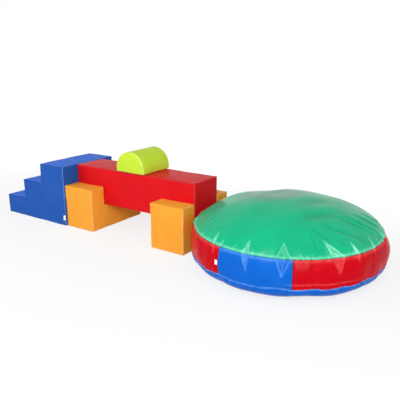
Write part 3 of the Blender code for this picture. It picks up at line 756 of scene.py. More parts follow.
def slider_of(name):
    """The slider: a shield-shaped plate with a drawn-in rim, a bridge and a pull tab that lies flat on it."""
    low, high = (np.array(corner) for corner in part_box(name + "_zip_slider"))
    zip_low, zip_high, lengthways = zip_run(name)
    middle = (low + high) / 2
    towards = np.sign(((zip_low + zip_high) / 2 - middle)[lengthways]) or 1.0
    along, across = np.eye(3)[lengthways] * towards, np.eye(3)[1 - lengthways]
    origin = middle.copy()
    origin[2] = low[2]
    depth = high[2] - low[2]
    half = abs(high[lengthways] - low[lengthways]) / 2
    wide = abs(high[1 - lengthways] - low[1 - lengthways]) / 2
    points, faces = [], []

    def slab(outline, bottom, top, rim):
        """Adds a flat part of a given outline, with its lower rim drawn in."""
        start, count = len(points), len(outline)
        ring = np.array(outline)
        centre = ring.mean(axis=0)
        drawn = centre + (ring - centre) * (1 - rim / lengths(ring - centre))
        for level, shape in ((bottom, drawn), (bottom + rim, ring), (top, ring)):
            points.extend((x, y, level) for x, y in shape)
        faces.append(tuple(range(start + count - 1, start - 1, -1)))
        for row in (0, count):
            for i in range(count):
                a, b = start + row + i, start + row + (i + 1) % count
                faces.append((a, b, b + count, a + count))
        faces.append(tuple(range(start + 2 * count, start + 3 * count)))

    def oval(centre, long, across, count):
        """Corners of an oval, in shares of the slider's half length and half width."""
        return [(half * (centre + long * math.cos(a)), wide * across * math.sin(a))
                for a in np.linspace(0, 2 * math.pi, count + 1)[:-1]]

    edge = [(-1.0, -0.5), (-0.92, -0.66), (-0.3, -0.8), (0.3, -0.98), (0.75, -1.0), (0.95, -0.85),
            (1.0, -0.4)]
    shield = edge + [(0.8, 0.0)] + [(x, -y) for x, y in edge[::-1]]
    slab([(half * x, wide * y) for x, y in shield], depth * 0.45, depth, 0.0002)
    slab(oval(0.0, 0.5, 0.3, 12), depth * 0.22, depth * 0.5, 0.0002)
    slab(oval(0.05, 0.8, 0.46, 18), 0.0, depth * 0.26, 0.0001)
    piece = new_piece(name + "_zip_puller", placed(points, origin, along, across), faces, SLIDER_ZINC)
    crisp_edges(piece, 30)
    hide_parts(name + "_zip_slider")
    return piece


def folded_label(name, root, outward, upward, reach, height):
    """A blank cloth tab, folded double and caught in a seam by its two ends."""
    face = np.cross(outward, upward)
    profile = [(0.0, 0.42), (0.35, 0.40), (0.7, 0.36), (0.93, 0.30), (0.985, 0.16), (1.0, 0.0),
               (0.985, -0.16), (0.93, -0.30), (0.7, -0.36), (0.35, -0.40), (0.0, -0.42),
               (0.0, -0.20), (0.35, -0.18), (0.7, -0.14), (0.92, -0.10), (0.955, 0.0),
               (0.92, 0.10), (0.7, 0.14), (0.35, 0.18), (0.0, 0.20)]
    rows = 9
    points, faces = [], []
    for row in range(rows):
        share = row / (rows - 1)
        for x, y in profile:
            bow = 0.7 * math.sin(math.pi * share) * x ** 2 + 0.35 * math.sin(5.2 * share + 2.4 * x) * x
            points.append(np.array(root) + np.array(outward) * x * reach
                          + np.array(upward) * (share - 0.5) * height + face * (y + bow) * 0.001)
    size = len(profile)
    for row in range(rows - 1):
        for i in range(size):
            a, b = row * size + i, row * size + (i + 1) % size
            faces.append((a, b, b + size, a + size))
    faces += [tuple(range(size - 1, -1, -1)), tuple(range((rows - 1) * size, rows * size))]
    piece = new_piece(name, points, faces, LABEL_CLOTH)
    crisp_edges(piece, 40)
    return piece


# The blocks

def span_of(name):
    """Lowest and highest corner of a block's panels."""
    return span(*[n for n in panels_of(name) if "panel" in n])


STEPS_LOW, STEPS_HIGH = span_of("steps")
BEAM_LOW, BEAM_HIGH = span_of("beam")
LEFT_LOW, LEFT_HIGH = span_of("left_cradle")
RIGHT_LOW, RIGHT_HIGH = span_of("right_cradle")
ROUND_LOW, ROUND_HIGH = span_of("half_round")
CUSHION_LOW, CUSHION_HIGH = span("cushion_top_panel", "cushion_base_panel", "cushion_red_panel_1",
                                 "cushion_red_panel_2", "cushion_blue_panel_1", "cushion_blue_panel_2")


def plan_steps():
    """The steps: three boxes that rise to the right, seamed round both sides and across the ends."""
    rise = (STEPS_HIGH[2] - STEPS_LOW[2]) / len(TREADS)
    x_high, y_low, y_high, base = STEPS_HIGH[0], STEPS_LOW[1], STEPS_HIGH[1], STEPS_LOW[2]
    risers = [STEPS_LOW[0] + sum(TREADS[:step]) for step in range(len(TREADS))] + [x_high]
    boxes, outline = [], [(risers[0], base)]
    for step, (x_riser, x_next) in enumerate(zip(risers, risers[1:])):
        top = base + rise * (step + 1)
        boxes.append(((x_riser, y_low, base), (x_high, y_high, top)))
        outline += [(x_riser, top), (x_next, top)]
    outline.append((x_high, base))
    seams = [outline_seam(outline, 1, y_low), outline_seam(outline, 1, y_high)]
    for x, z in ((x_high, STEPS_HIGH[2]), (x_high, base), (risers[0], base)):
        seams.append(straight_seam((x, y_low, z), (x, y_high, z)))
    box_block("steps", boxes, seams, 21, 0.0)


def plan_beam():
    """The beam: one box with a seam along every edge."""
    low, high = BEAM_LOW, BEAM_HIGH
    ring = [(low[1], low[2]), (high[1], low[2]), (high[1], high[2]), (low[1], high[2])]
    seams = [outline_seam(ring, 0, low[0]), outline_seam(ring, 0, high[0])]
    seams += [straight_seam((low[0], y, z), (high[0], y, z)) for y, z in ring]
    box_block("beam", [(low, high)], seams, 22, 0.35)


def plan_cradle(name, low, high, seed):
    """A cradle: a base with an upright on each side of the notch, seamed round both side panels."""
    middle = (BEAM_LOW[1] + BEAM_HIGH[1]) / 2
    front, back = middle - NOTCH_WIDTH / 2, middle + NOTCH_WIDTH / 2
    boxes = [(low, (high[0], high[1], NOTCH_FLOOR)), (low, (high[0], front, high[2])),
             ((low[0], back, low[2]), high)]
    outline = [(low[1], low[2]), (low[1], high[2]), (front, high[2]), (front, NOTCH_FLOOR),
               (back, NOTCH_FLOOR), (back, high[2]), (high[1], high[2]), (high[1], low[2])]
    seams = [outline_seam(outline, 0, low[0]), outline_seam(outline, 0, high[0])]
    seams += [straight_seam((low[0], y, low[2]), (high[0], y, low[2])) for y in (low[1], high[1])]
    box_block(name, boxes, seams, seed, 0.5)


# Soft creases in the flat covers, from where the foam is held to where it gives: both ends in metres, the
# half width and the depth in mm
DRAG_CREASES = {
    "steps": [
        ((-1.405, -0.316, 0.165), (-1.27, -0.316, 0.04), 20, 4.6),
        ((-1.170, -0.316, 0.335), (-1.02, -0.316, 0.17), 22, 5.0),
        ((-1.240, -0.316, 0.150), (-0.97, -0.316, 0.03), 18, 3.8),
        ((-1.060, -0.316, 0.440), (-1.03, -0.316, 0.27), 24, 3.0),
        ((-1.540, -0.316, 0.110), (-1.44, -0.316, 0.03), 18, 2.8),
        ((-0.950, -0.316, 0.200), (-0.905, -0.316, 0.05), 14, 3.0),
    ],
    "beam": [
        ((-0.500, -0.157, 0.215), (-0.36, -0.157, 0.34), 22, 2.4),
        ((0.210, -0.157, 0.470), (0.06, -0.157, 0.38), 22, 2.2),
    ],
    "left_cradle": [
        ((-0.850, -0.302, 0.330), (-0.80, -0.302, 0.10), 18, 2.8),
        ((-0.5775, -0.15, 0.205), (-0.5775, -0.26, 0.05), 18, 3.4),
    ],
    "right_cradle": [
        ((0.060, -0.302, 0.300), (0.17, -0.302, 0.06), 20, 2.6),
    ],
}


def plan_half_round():
    """The half-round: a box lattice bent into a half circle on short straight sides."""
    low, high = ROUND_LOW, ROUND_HIGH
    radius = (high[0] - low[0]) / 2
    centre = np.array(((low[0] + high[0]) / 2, 0.0, low[2] + HALF_ROUND_SIDE))

    def flat(points):
        """Bends a box lattice into straight sides with a half circle over them."""
        bent = points.copy()
        across = (points[:, 0] - centre[0]) / radius
        rise = np.maximum(points[:, 2] - centre[2], 0) / radius
        bent[:, 0] = centre[0] + radius * across * np.sqrt(1 - rise ** 2 / 2)
        above = points[:, 2] > centre[2]
        bent[above, 2] = centre[2] + radius * rise[above] * np.sqrt(1 - across[above] ** 2 / 2)
        # sat on, its sides lean out towards the base
        level = (bent[:, 2] - low[2]) / (high[2] - low[2])
        bent[:, 0] += 0.008 * across * np.exp(-((level - 0.12) / 0.4) ** 2)
        return bent

    def nearest(points):
        """Each point's nearest place an edge radius deep in the foam."""
        inner = radius - EDGE_RADIUS
        place = np.clip(points, [centre[0] - inner, low[1] + EDGE_RADIUS, low[2] + EDGE_RADIUS],
                        [centre[0] + inner, high[1] - EDGE_RADIUS, high[2]])
        above = points[:, 2] > centre[2]
        arm = points[above][:, [0, 2]] - centre[[0, 2]]
        held = arm * np.minimum(1, inner / np.maximum(lengths(arm), 1e-9))
        place[above, 0] = centre[0] + held[:, 0]
        place[above, 2] = centre[2] + held[:, 1]
        return place

    arc = [(centre[0] - radius * math.cos(a), centre[2] + radius * math.sin(a))
           for a in np.linspace(0, math.pi, 49)]
    outline = [(low[0], low[2]), *arc, (high[0], low[2])]
    seams = [outline_seam(outline, 1, low[1]), outline_seam(outline, 1, high[1])]
    seams += [straight_seam((x, low[1], low[2]), (x, high[1], low[2])) for x in (low[0], high[0])]
    lines = [lattice_lines([low[axis], high[axis]]) for axis in range(3)]
    plan_block("half_round", lines, in_boxes([(low, high)]), flat, nearest, seams, 25, 0.9)


plan_steps()
plan_beam()
plan_cradle("left_cradle", LEFT_LOW, LEFT_HIGH, 23)
plan_cradle("right_cradle", RIGHT_LOW, RIGHT_HIGH, 24)
plan_half_round()


# The round cushion

# Pinches along the top seam on the seen side: crease angle in degrees, widths to its left and right, depth,
# angle of the tip on the dome, reach up, angle of the tip on the band, reach down, all lengths in mm
TOP_GATHERS = [
    (210.0, 30, 20, 20, 212, 80, 210, 60),
    (218.0, 9, 9, 5, 219, 60, 218, 16),
    (224.5, 8, 8, 4.5, 226, 70, 224, 14),
    (231.0, 8, 8, 4.5, 231, 52, 231, 12),
    (238.5, 9, 9, 5, 237, 66, 239, 18),
    (245.0, 8, 8, 4, 245, 40, 245, 12),
    (251.9, 12, 10, 17, 248.2, 92, 252.0, 56),
    (256.9, 10, 8, 10, 256, 46, 257.2, 30),
    (265.5, 14, 10, 4, 265, 46, 265, 26),
    (274.4, 38, 9, 27, 272.2, 92, 274.2, 102),
    (283.0, 16, 16, 2, 283, 40, 283, 24),
    (293.2, 40, 38, 24, 292.7, 106, 292.4, 104),
    (302.0, 10, 8, 8, 302, 36, 302, 14),
    (304.7, 8, 8, 7, 304.6, 28, 304.7, 12),
    (307.5, 9, 8, 8, 308, 34, 307.5, 12),
    (319.0, 9, 64, 30, 317.0, 120, 322.5, 100),
    (332.8, 8, 24, 22, 333.8, 82, 334.4, 42),
    (348.0, 7, 16, 17, 352.7, 92, 348.6, 34),
    (356.0, 12, 10, 8, 358, 56, 356, 30),
    (7.0, 40, 30, 22, 8, 90, 7, 74),
]


def drawn_gathers(low_angle, high_angle, step, depth):
    """Gathers for the parts of a seam that the photograph doesn't show."""
    rows, angle = [], low_angle
    while angle < high_angle:
        wide = RANDOM.uniform(0.25, 1.0) ** 1.5
        up, down = 30 + 90 * wide * RANDOM.uniform(0.7, 1), 10 + 75 * wide * RANDOM.uniform(0.4, 1)
        rows.append((angle, 6 + 36 * wide * RANDOM.uniform(0.3, 1), 6 + 36 * wide * RANDOM.uniform(0.3, 1),
                     depth * (0.3 + 0.7 * wide), angle + RANDOM.uniform(-3, 3), up,
                     angle + RANDOM.uniform(-1.5, 1.5), down))
        angle += step * RANDOM.uniform(0.65, 1.35)
    return rows


TOP_GATHERS += drawn_gathers(20, 202, 12, 25)
BASE_GATHERS = [
    (228, 14, 14, 8, 229, 40, 228, 60),
    (243, 22, 16, 8, 243, 36, 242, 60),
    (262, 18, 22, 8, 263, 32, 262, 70),
    (279, 26, 20, 9, 279, 34, 279, 60),
    (295, 16, 22, 8, 296, 30, 295, 60),
    (311, 30, 22, 9, 311, 40, 311, 60),
    (326, 16, 16, 7, 326, 26, 326, 60),
    (338, 18, 14, 10, 338, 40, 338, 60),
    (352, 14, 20, 8, 352, 36, 352, 60),
] + drawn_gathers(5, 220, 15, 12)

# Long folds on the dome: angle and distance from the middle of both ends, half width, depth, in mm
DOME_FOLDS = [
    (6, 430, 12, 600, 16, 8.0),
    (352, 400, 3, 585, 13, 8.0),
    (342, 385, 357, 560, 14, 7.5),
    (318, 420, 344, 590, 12, 6.0),
    (305, 400, 322, 560, 9, 5.0),
    (20, 470, 22, 610, 14, 7.0),
    (303, 365, 350, 372, 40, 5.0),
    (275, 545, 276, 600, 8, 3.0),
    (310, 500, 312, 585, 8, 4.0),
    (328.5, 530, 328, 600, 7, 4.0),
    (341, 530, 344, 600, 8, 4.0),
    (222, 430, 228, 590, 14, 3.0),
    (235, 470, 236, 600, 12, 2.5),
    (205, 480, 209, 600, 16, 5.0),
    (60, 300, 40, 560, 26, 6.0),
    (95, 380, 88, 590, 20, 5.0),
    (130, 330, 138, 580, 24, 5.0),
    (165, 420, 160, 600, 18, 5.0),
    (25, 260, 330, 190, 55, 5.0),
    (150, 480, 192, 480, 75, -9.0),
]
# Soft dents in the band: angle, height in metres, half length, half height and depth in mm, where a depth
# below 0 stands out
BAND_DENTS = [
    (262.5, 0.185, 40, 55, 5),
    (268.5, 0.235, 26, 30, -3.5),
    (280, 0.150, 60, 34, 3.5),
    (285.5, 0.235, 45, 28, -3),
    (290, 0.175, 24, 50, 3),
    (309, 0.170, 60, 30, 3),
    (313, 0.225, 30, 30, -3),
    (327, 0.200, 40, 50, 4),
    (337, 0.215, 34, 50, -3),
    (344, 0.170, 40, 40, 4),
    (243, 0.190, 30, 55, 3),
    (236, 0.220, 40, 40, -3),
]
# The filling leans on the rear right: where and how far round in degrees, how far the seam draws in and the
# band stands out there, the height of the band's belly and how far both reach, in metres
LEAN = (24.0, 26.0, 0.016, 0.008, 0.185, 0.055)
# The slack hollow beside the crown: its middle, its radius and its depth, in metres
CROWN_HOLLOW = ((-0.13, 0.07), 0.18, 0.019)
# The doubled hem inside the band, a low ridge above the base seam: its middle and half spread in degrees, its
# distance from the seam, half width and height in metres, and how pale it is painted, a painted highlight
# along the ridge
HEM = (313, 16, 0.033, 0.0035, 0.0028, 0.7)

# A pinch: the margin in which it turns flat, the width of its painted highlight along the edge and the least
# width of the lip beside it, in metres, and that lip as a share of the pinch
PINCH_FLAT_MARGIN = 0.008
PINCH_PALE_EDGE = 0.004
PINCH_LEAST_LIP = 0.009
PINCH_LIP = 0.24
# How wide a pinch is called wide and how deep it is fully flat and fully pale, in mm, how pale wide and
# narrow ones are inside, and the share of that which is lost at their tips; the paleness is painted highlight
WIDE_PINCH = 60
FLAT_DEPTH = 20
PALE_DEPTH = 16
WIDE_PINCH_PALE = 0.28
NARROW_PINCH_PALE = 0.7
TIP_LOSS = 0.35
# A pinch draws the seam in towards the middle and a little down: outward and upward parts of its direction
PINCH_DIRECTION = (math.cos(math.radians(24)), math.sin(math.radians(24)))

CUSHION_CENTRE = np.array(((CUSHION_LOW[0] + CUSHION_HIGH[0]) / 2, (CUSHION_LOW[1] + CUSHION_HIGH[1]) / 2))


def cushion_profile(top_cells, band_cells, under_cells, foot_cells, near, near_dome):
    """The cushion's half section from the crown to the middle of its foot, and which rings are seams."""
    def spaced(reach, cells, graded, near=near):
        """Shares of a reach from 0 to 1, with closer ones beside a seam at its start, its end or both."""
        offsets = [n / reach for n in near]
        starts = offsets if "start" in graded else [0.0]
        ends = offsets if "end" in graded else [0.0]
        middle = np.linspace(starts[-1], 1 - ends[-1], cells + 1)
        return np.array([*starts[:-1], *middle, *[1 - n for n in ends[:-1]][::-1]])

    dome_r = TOP_SEAM_RADIUS * spaced(0.70, top_cells, "end", near_dome)
    dome_z = TOP_SEAM_HEIGHT + (CROWN_HEIGHT - TOP_SEAM_HEIGHT) * (
        1 - (dome_r / TOP_SEAM_RADIUS) ** 2).clip(0) ** CROWN_POWER
    share = spaced(0.19, band_cells, "start end")
    band_r = (TOP_SEAM_RADIUS + (BASE_SEAM_RADIUS - TOP_SEAM_RADIUS) * share
              + BAND_BULGE * 4 * share * (1 - share))
    band_z = TOP_SEAM_HEIGHT + (BASE_SEAM_HEIGHT - TOP_SEAM_HEIGHT) * share
    turn = (1 - spaced(0.30, under_cells, "start")) * math.pi / 2
    under_r = FOOT_RADIUS + (BASE_SEAM_RADIUS - FOOT_RADIUS) * np.sin(turn)
    under_z = BASE_SEAM_HEIGHT * (1 - np.cos(turn)) ** 1.2
    foot_r = np.linspace(FOOT_RADIUS, 0.0, foot_cells + 1)
    radius = np.concatenate([dome_r, band_r[1:], under_r[1:], foot_r[1:]])
    height = np.concatenate([dome_z, band_z[1:], under_z[1:], np.zeros(foot_cells)])
    top_seam = len(dome_r) - 1
    base_seam = top_seam + len(band_r) - 1
    return radius, height, top_seam, base_seam


def cushion_angles(step, fine_step):
    """Angles of the cushion's columns, with one on every panel seam and closer ones across the gathers."""
    seams = panel_seams()
    angles = []
    for low, high in zip(seams, seams[1:] + [seams[0] + 360]):
        tries = np.linspace(low, high, 400)
        pace = np.full(400, step)
        for row in TOP_GATHERS:
            half = math.degrees(max(row[1], row[2]) / 1000 / TOP_SEAM_RADIUS) + 1.0
            for centre, reach in ((row[0], half), ((row[0] + row[4]) / 2, half / 2 + 0.8), (row[4], 1.2)):
                near = np.abs(degrees_past(tries, centre)) < reach
                pace = np.where(near, np.minimum(pace, fine_step), pace)
        passed = np.insert(np.cumsum((1 / pace[1:] + 1 / pace[:-1]) / 2 * np.diff(tries)), 0, 0)
        count = math.ceil(passed[-1])
        angles.append(np.interp(np.linspace(0, passed[-1], count + 1)[:-1], passed, tries))
    return np.concatenate(angles)


def panel_seams():
    """Angles of the seams between the band's panels, each red panel followed by a blue one."""
    seams, angle = [], FIRST_RED_ANGLE
    for _ in range(PANEL_PAIRS):
        seams += [angle, angle + RED_PANEL_ANGLE]
        angle += RED_PANEL_ANGLE + BLUE_PANEL_ANGLE
    return seams


def section_normals(radius, height):
    """Outward directions of a half section, as radial and upward parts."""
    run_r, run_z = np.gradient(radius), np.gradient(height)
    size = np.hypot(run_r, run_z)
    outward_r, outward_z = -run_z / size, run_r / size
    outward_r[0], outward_z[0] = 0.0, 1.0
    outward_r[-1], outward_z[-1] = 0.0, -1.0
    return outward_r, outward_z


def pinch_depths(rows, angle, radius, height, seam, step):
    """How deep the pinches press in on one side of a seam, and their painted highlight, a paler colour, for
    columns by rings. step is -1 for the side towards the crown and 1 for the other. Each pinch is a
    flat-sided diamond that narrows to a tip."""
    rings = np.arange(seam, -1, -1) if step < 0 else np.arange(seam, len(radius))
    past = distance_along(np.column_stack([radius, height])[rings])
    depth, pale = np.zeros(angle.shape), np.zeros(angle.shape)
    for crease, left, right, deep, up_angle, up, down_angle, down in rows:
        tip, reach = (up_angle, up / 1000) if step < 0 else (down_angle, down / 1000)
        share = np.clip(past / reach, 0, 1)
        off = degrees_past(angle[:, rings], crease + degrees_past(tip, crease) * share)
        side = np.radians(off) * radius[seam]
        width = np.where(side < 0, left, right) / 1000
        inside = 1 - share - np.abs(side) / width
        # the chord from seam to tip, and how far the section bulges over it
        tip_r, tip_z = np.interp(reach, past, radius[rings]), np.interp(reach, past, height[rings])
        chord = np.array((tip_r - radius[seam], tip_z - height[seam]))
        chord /= np.linalg.norm(chord)
        bulge = np.abs((radius[rings] - radius[seam]) * chord[1] - (height[rings] - height[seam]) * chord[0])
        flattened = bulge * np.clip(inside * width / PINCH_FLAT_MARGIN, 0, 1) * (past < reach)
        lip = np.maximum(width * PINCH_LIP, PINCH_LEAST_LIP)
        beyond = -inside * width
        raised = PINCH_LIP * np.exp(-((beyond - lip) / lip) ** 2) * (1 - share)
        depth[:, rings] += (deep / 1000 * (np.clip(inside, 0, 1) - raised)
                            + flattened * min(1.0, deep / FLAT_DEPTH))
        # painted highlight: narrow pinches are paler all over, wide ones mostly along their edges
        inner = WIDE_PINCH_PALE if left + right > WIDE_PINCH else NARROW_PINCH_PALE
        pinch_highlight = np.maximum(np.exp(-(beyond / PINCH_PALE_EDGE) ** 2),
                               inner * np.clip(inside * width / PINCH_PALE_EDGE, 0, 1))
        pinch_highlight *= min(1.0, deep / PALE_DEPTH) * (past < reach) * (1 - TIP_LOSS * share)
        pale[:, rings] = np.maximum(pale[:, rings], pinch_highlight)
    return np.stack([depth, pale])


def seam_pinches(rows, angle, radius, height, seam):
    """The depth and the paleness of the pinches on both sides of a seam."""
    return np.where(np.arange(len(radius)) <= seam, pinch_depths(rows, angle, radius, height, seam, -1),
                    pinch_depths(rows, angle, radius, height, seam, 1))


def dome_place(angle, out):
    """A place on the dome, from its angle and its distance from the middle in mm."""
    return np.array((math.cos(math.radians(angle)), math.sin(math.radians(angle)))) * out / 1000


def fold_depths(turn, radius):
    """How deep the long folds and the hollow beside the crown press the dome in."""
    place = np.stack([radius * np.cos(turn), radius * np.sin(turn)], axis=-1)
    depth = np.zeros(turn.shape)
    for angle_a, out_a, angle_b, out_b, wide, deep in DOME_FOLDS:
        fold = (dome_place(angle_a, out_a), dome_place(angle_b, out_b), wide, deep)
        depth += crease_press(place, fold, DOME_CREASE)
    middle, reach, deep = CROWN_HOLLOW
    return depth + deep * np.exp(-(np.linalg.norm(place - middle, axis=-1) / reach) ** 2)


def gathered_press(angle, radius, height, arc, top_seam, base_seam):
    """How deep the pinches of the top seam and everything else press the cushion in, and how much painted
    highlight and painted shade the cloth gets there."""
    rings = np.arange(len(radius))
    pinch, pale = seam_pinches(TOP_GATHERS, angle, radius, height, top_seam)
    press = seam_pinches(BASE_GATHERS, angle, radius, height, base_seam)[0]
    folds = fold_depths(np.radians(angle), radius)
    press = np.where(rings < top_seam, folds, press)
    # painted shade in the dome's folds, darker where they press deeper
    shade = np.where(rings < top_seam, np.clip((folds - 0.001) / 0.012, 0, 0.6), 0)
    for where, level, long, tall, deep in BAND_DENTS:
        side = np.radians(degrees_past(angle, where)) * TOP_SEAM_RADIUS * 1000 / long
        dent = deep / 1000 * np.exp(-side ** 2 - ((height - level) * 1000 / tall) ** 2)
        press = press + np.where(rings > top_seam, dent, 0)
    where, wide, drawn, stood, belly, reach = LEAN
    lean = np.exp(-(degrees_past(angle, where) / wide) ** 2)
    at_seam = np.exp(-((arc - arc[top_seam]) / reach) ** 2)
    on_belly = np.exp(-((height - belly) / reach) ** 2) * (arc > arc[top_seam])
    press = press + lean * (drawn * at_seam - stood * on_belly)
    where, wide, above, half_width, ridge, paleness = HEM
    hem = np.exp(-((arc[base_seam] - arc - above) / half_width) ** 2)
    hem = hem * smooth_step(1.6 - np.abs(degrees_past(angle, where)) / wide)
    return pinch, press - ridge * hem, np.maximum(pale, paleness * hem), shade


def cushion_skin(radius, height, top_seam, base_seam, angles, gathered=True):
    """Points of the cushion as columns by rings, with its pinches, folds and wavy seams, their directions,
    and how much painted highlight and painted shade its cloth gets there."""
    outward_r, outward_z = section_normals(radius, height)
    arc = distance_along(np.column_stack([radius, height]))
    angle = np.broadcast_to(angles[:, None], (len(angles), len(radius)))
    rings = np.arange(len(radius))
    turn = np.radians(angle)
    if gathered:
        pinch, press, pale, shade = gathered_press(angle, radius, height, arc, top_seam, base_seam)
    else:
        pinch, press, pale, shade = np.zeros((4, *turn.shape))
    for seam, seed in ((top_seam, 3), (base_seam, 4)):
        gap = np.abs(arc - arc[seam])
        drawn = waves(turn * TOP_SEAM_RADIUS, seed, (0.042, 0.058, 0.094, 0.21))
        press = press + seam_press(gap, ROUND_SEAM) + ROUND_GATHER * np.exp(-gap / ROUND_GATHER_REACH) * drawn
    on_band = (rings >= top_seam) & (rings <= base_seam)
    for seam_angle in panel_seams():
        side = np.abs(np.radians(degrees_past(angle, seam_angle))) * TOP_SEAM_RADIUS
        press = press + np.where(on_band, seam_press(side, BAND_SEAM), 0)
    outs, levels = np.broadcast_to(outward_z, turn.shape), np.broadcast_to(height, turn.shape)
    points = np.stack([radius * np.cos(turn), radius * np.sin(turn), levels], axis=-1)
    outward = np.stack([outward_r * np.cos(turn), outward_r * np.sin(turn), outs], axis=-1)
    # the base seam waves up and down
    lift = BASE_WAVE_HEIGHT * waves(turn * TOP_SEAM_RADIUS, 8, (0.19, 0.31, 0.47)) * np.exp(
        -(np.abs(arc - arc[base_seam]) / BASE_WAVE_REACH) ** 2)
    # the filling lies still round the middle
    stir = smooth_step((radius - 0.1) / 0.2)
    soft = sway(points.reshape(-1, 3), 31, ROUND_SWAY_LENGTH).reshape(turn.shape) * ROUND_SWAY_DEPTH * stir
    drawn_in = np.stack([np.cos(turn) * PINCH_DIRECTION[0], np.sin(turn) * PINCH_DIRECTION[0],
                         np.full(turn.shape, PINCH_DIRECTION[1])], axis=-1)
    points = points + outward * (soft - press)[..., None] - drawn_in * pinch[..., None]
    points[..., 2] += lift
    points[..., :2] += CUSHION_CENTRE
    return points, outward, pale, shade


def ring_faces(columns, first, last, wrap):
    """Faces of the rings from first to last over the given columns, wound outward."""
    faces = []
    pairs = list(zip(columns, columns[1:] + columns[:1])) if wrap else list(zip(columns, columns[1:]))
    for a, b in pairs:
        for ring in range(first, last):
            faces.append(((a, ring), (b, ring), (b, ring + 1), (a, ring + 1)))
    return faces


def closed_skin(points):
    """Points and faces of the whole cushion as one closed skin, for the cloth."""
    columns, rings = points.shape[:2]
    number = np.arange(columns * rings).reshape(columns, rings)
    number[:, 0] = 0
    number[:, -1] = rings - 1
    faces = []
    for a in range(columns):
        b = (a + 1) % columns
        for ring in range(rings - 1):
            face = [number[a, ring], number[a, ring + 1], number[b, ring + 1], number[b, ring]]
            faces.append(list(dict.fromkeys(face)))
    kept = np.unique(np.concatenate([np.array(f) for f in faces]))
    renumber = dict(zip(kept.tolist(), range(len(kept))))
    return points.reshape(-1, 3)[kept], [[renumber[int(i)] for i in face] for face in faces], kept


COARSE_PROFILE = cushion_profile(30, 10, 12, 8, (0.0, 0.008, 0.018), (0.0, 0.008, 0.018))
COARSE_ANGLES = np.arange(FIRST_RED_ANGLE, FIRST_RED_ANGLE + 360, 1.5)
COARSE_SKIN, COARSE_OUTWARD = cushion_skin(*COARSE_PROFILE, COARSE_ANGLES, gathered=False)[:2]
cloth_points, cloth_faces, cloth_kept = closed_skin(COARSE_SKIN - COARSE_OUTWARD * 0.005)
ring_of = cloth_kept % len(COARSE_PROFILE[0])
cloth_start = {"points": cloth_points, "faces": cloth_faces, "limit": CUSHION_SWELL, "pressure": 4.0,
               "shrink": 0.06, "seam": np.isin(ring_of, COARSE_PROFILE[2:4]).astype(float)}

MOVES = swell_as_cloth({**{name: plan["start"] for name, plan in BLOCKS.items()}, "cushion": cloth_start})


def spread_moves(moves, angles, arc):
    """The coarse skin's moves at the fine skin's columns and rings."""
    columns, rings = COARSE_SKIN.shape[:2]
    grid = np.zeros((columns * rings, 3))
    grid[cloth_kept] = moves
    grid = grid.reshape(columns, rings, 3)
    grid[:, 0] = grid[0, 0]
    grid[:, -1] = grid[0, -1]
    swell = np.sum(grid * COARSE_OUTWARD, axis=-1)
    grid = COARSE_OUTWARD * (swell - swell.mean(axis=0))[..., None]
    coarse_arc = distance_along(np.column_stack(COARSE_PROFILE[:2]))
    coarse_arc *= arc[-1] / coarse_arc[-1]
    wrapped = np.concatenate([COARSE_ANGLES, [COARSE_ANGLES[0] + 360]])
    ringed = np.concatenate([grid, grid[:1]])
    by_ring = np.stack([[np.interp(arc, coarse_arc, ringed[c, :, axis]) for axis in range(3)]
                        for c in range(len(wrapped))])
    return np.stack([[np.interp(angles, wrapped, by_ring[:, axis, ring]) for axis in range(3)]
                     for ring in range(len(arc))]).transpose(2, 0, 1)


# The pieces

# The right cradle slides this far in under the beam, which must not swell into its notch on the way
CRADLE_SLIDE = 0.5
SLIDE_LOW = (RIGHT_LOW[0] - CRADLE_SLIDE, RIGHT_LOW[1], RIGHT_LOW[2])
NEIGHBOURS = {
    "steps": [(LEFT_LOW, LEFT_HIGH), (BEAM_LOW, BEAM_HIGH)],
    "beam": [(STEPS_LOW, STEPS_HIGH), (LEFT_LOW, LEFT_HIGH), (SLIDE_LOW, RIGHT_HIGH),
             (ROUND_LOW, ROUND_HIGH)],
    "left_cradle": [(STEPS_LOW, STEPS_HIGH), (BEAM_LOW, BEAM_HIGH)],
    "right_cradle": [(BEAM_LOW, BEAM_HIGH), (CUSHION_LOW, CUSHION_HIGH)],
    "half_round": [(BEAM_LOW, BEAM_HIGH)],
}
VINYLS = {
    "steps": (BLUE_VINYL, "blue_vinyl", "blue"),
    "beam": (RED_VINYL, "red_vinyl", "red"),
    "left_cradle": (ORANGE_VINYL, "orange_vinyl", "orange"),
    "right_cradle": (ORANGE_VINYL, "orange_vinyl", "orange"),
    "half_round": (LIME_VINYL, "lime_vinyl", "lime"),
}
for block, (finish, slot_name, thread) in VINYLS.items():
    cover, seam_rows = sew_block(block, MOVES[block], NEIGHBOURS[block], finish)
    if block == "steps":
        # the treads get a brighter copy of the blue vinyl: painted light, for more light falling on the tops
        cover.data.materials.append(PAINTED_LIGHT_TREAD_VINYL)
        for polygon in cover.data.polygons:
            polygon.material_index = int(polygon.normal.z > 0.7)
    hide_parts(*panels_of(block))
    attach(cover, block)
    stitching = stitches(block + "_stitching", seam_rows, THREADS[thread])
    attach(stitching, block)

for block in [*VINYLS, "cushion"]:
    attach(zip_of(block), block)
    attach(slider_of(block), block + "_zip_slider")

# the tab stands out of the corner seam, turned a little to the left
lean = math.radians(9)
steps_tab = folded_label("steps_cloth_tab", (-0.8807, -0.3128, 0.0735),
                         (-math.sin(lean), -math.cos(lean), 0.0), (0, 0, 1), 0.0205, 0.042)
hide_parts("steps_label")
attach(steps_tab, "steps")

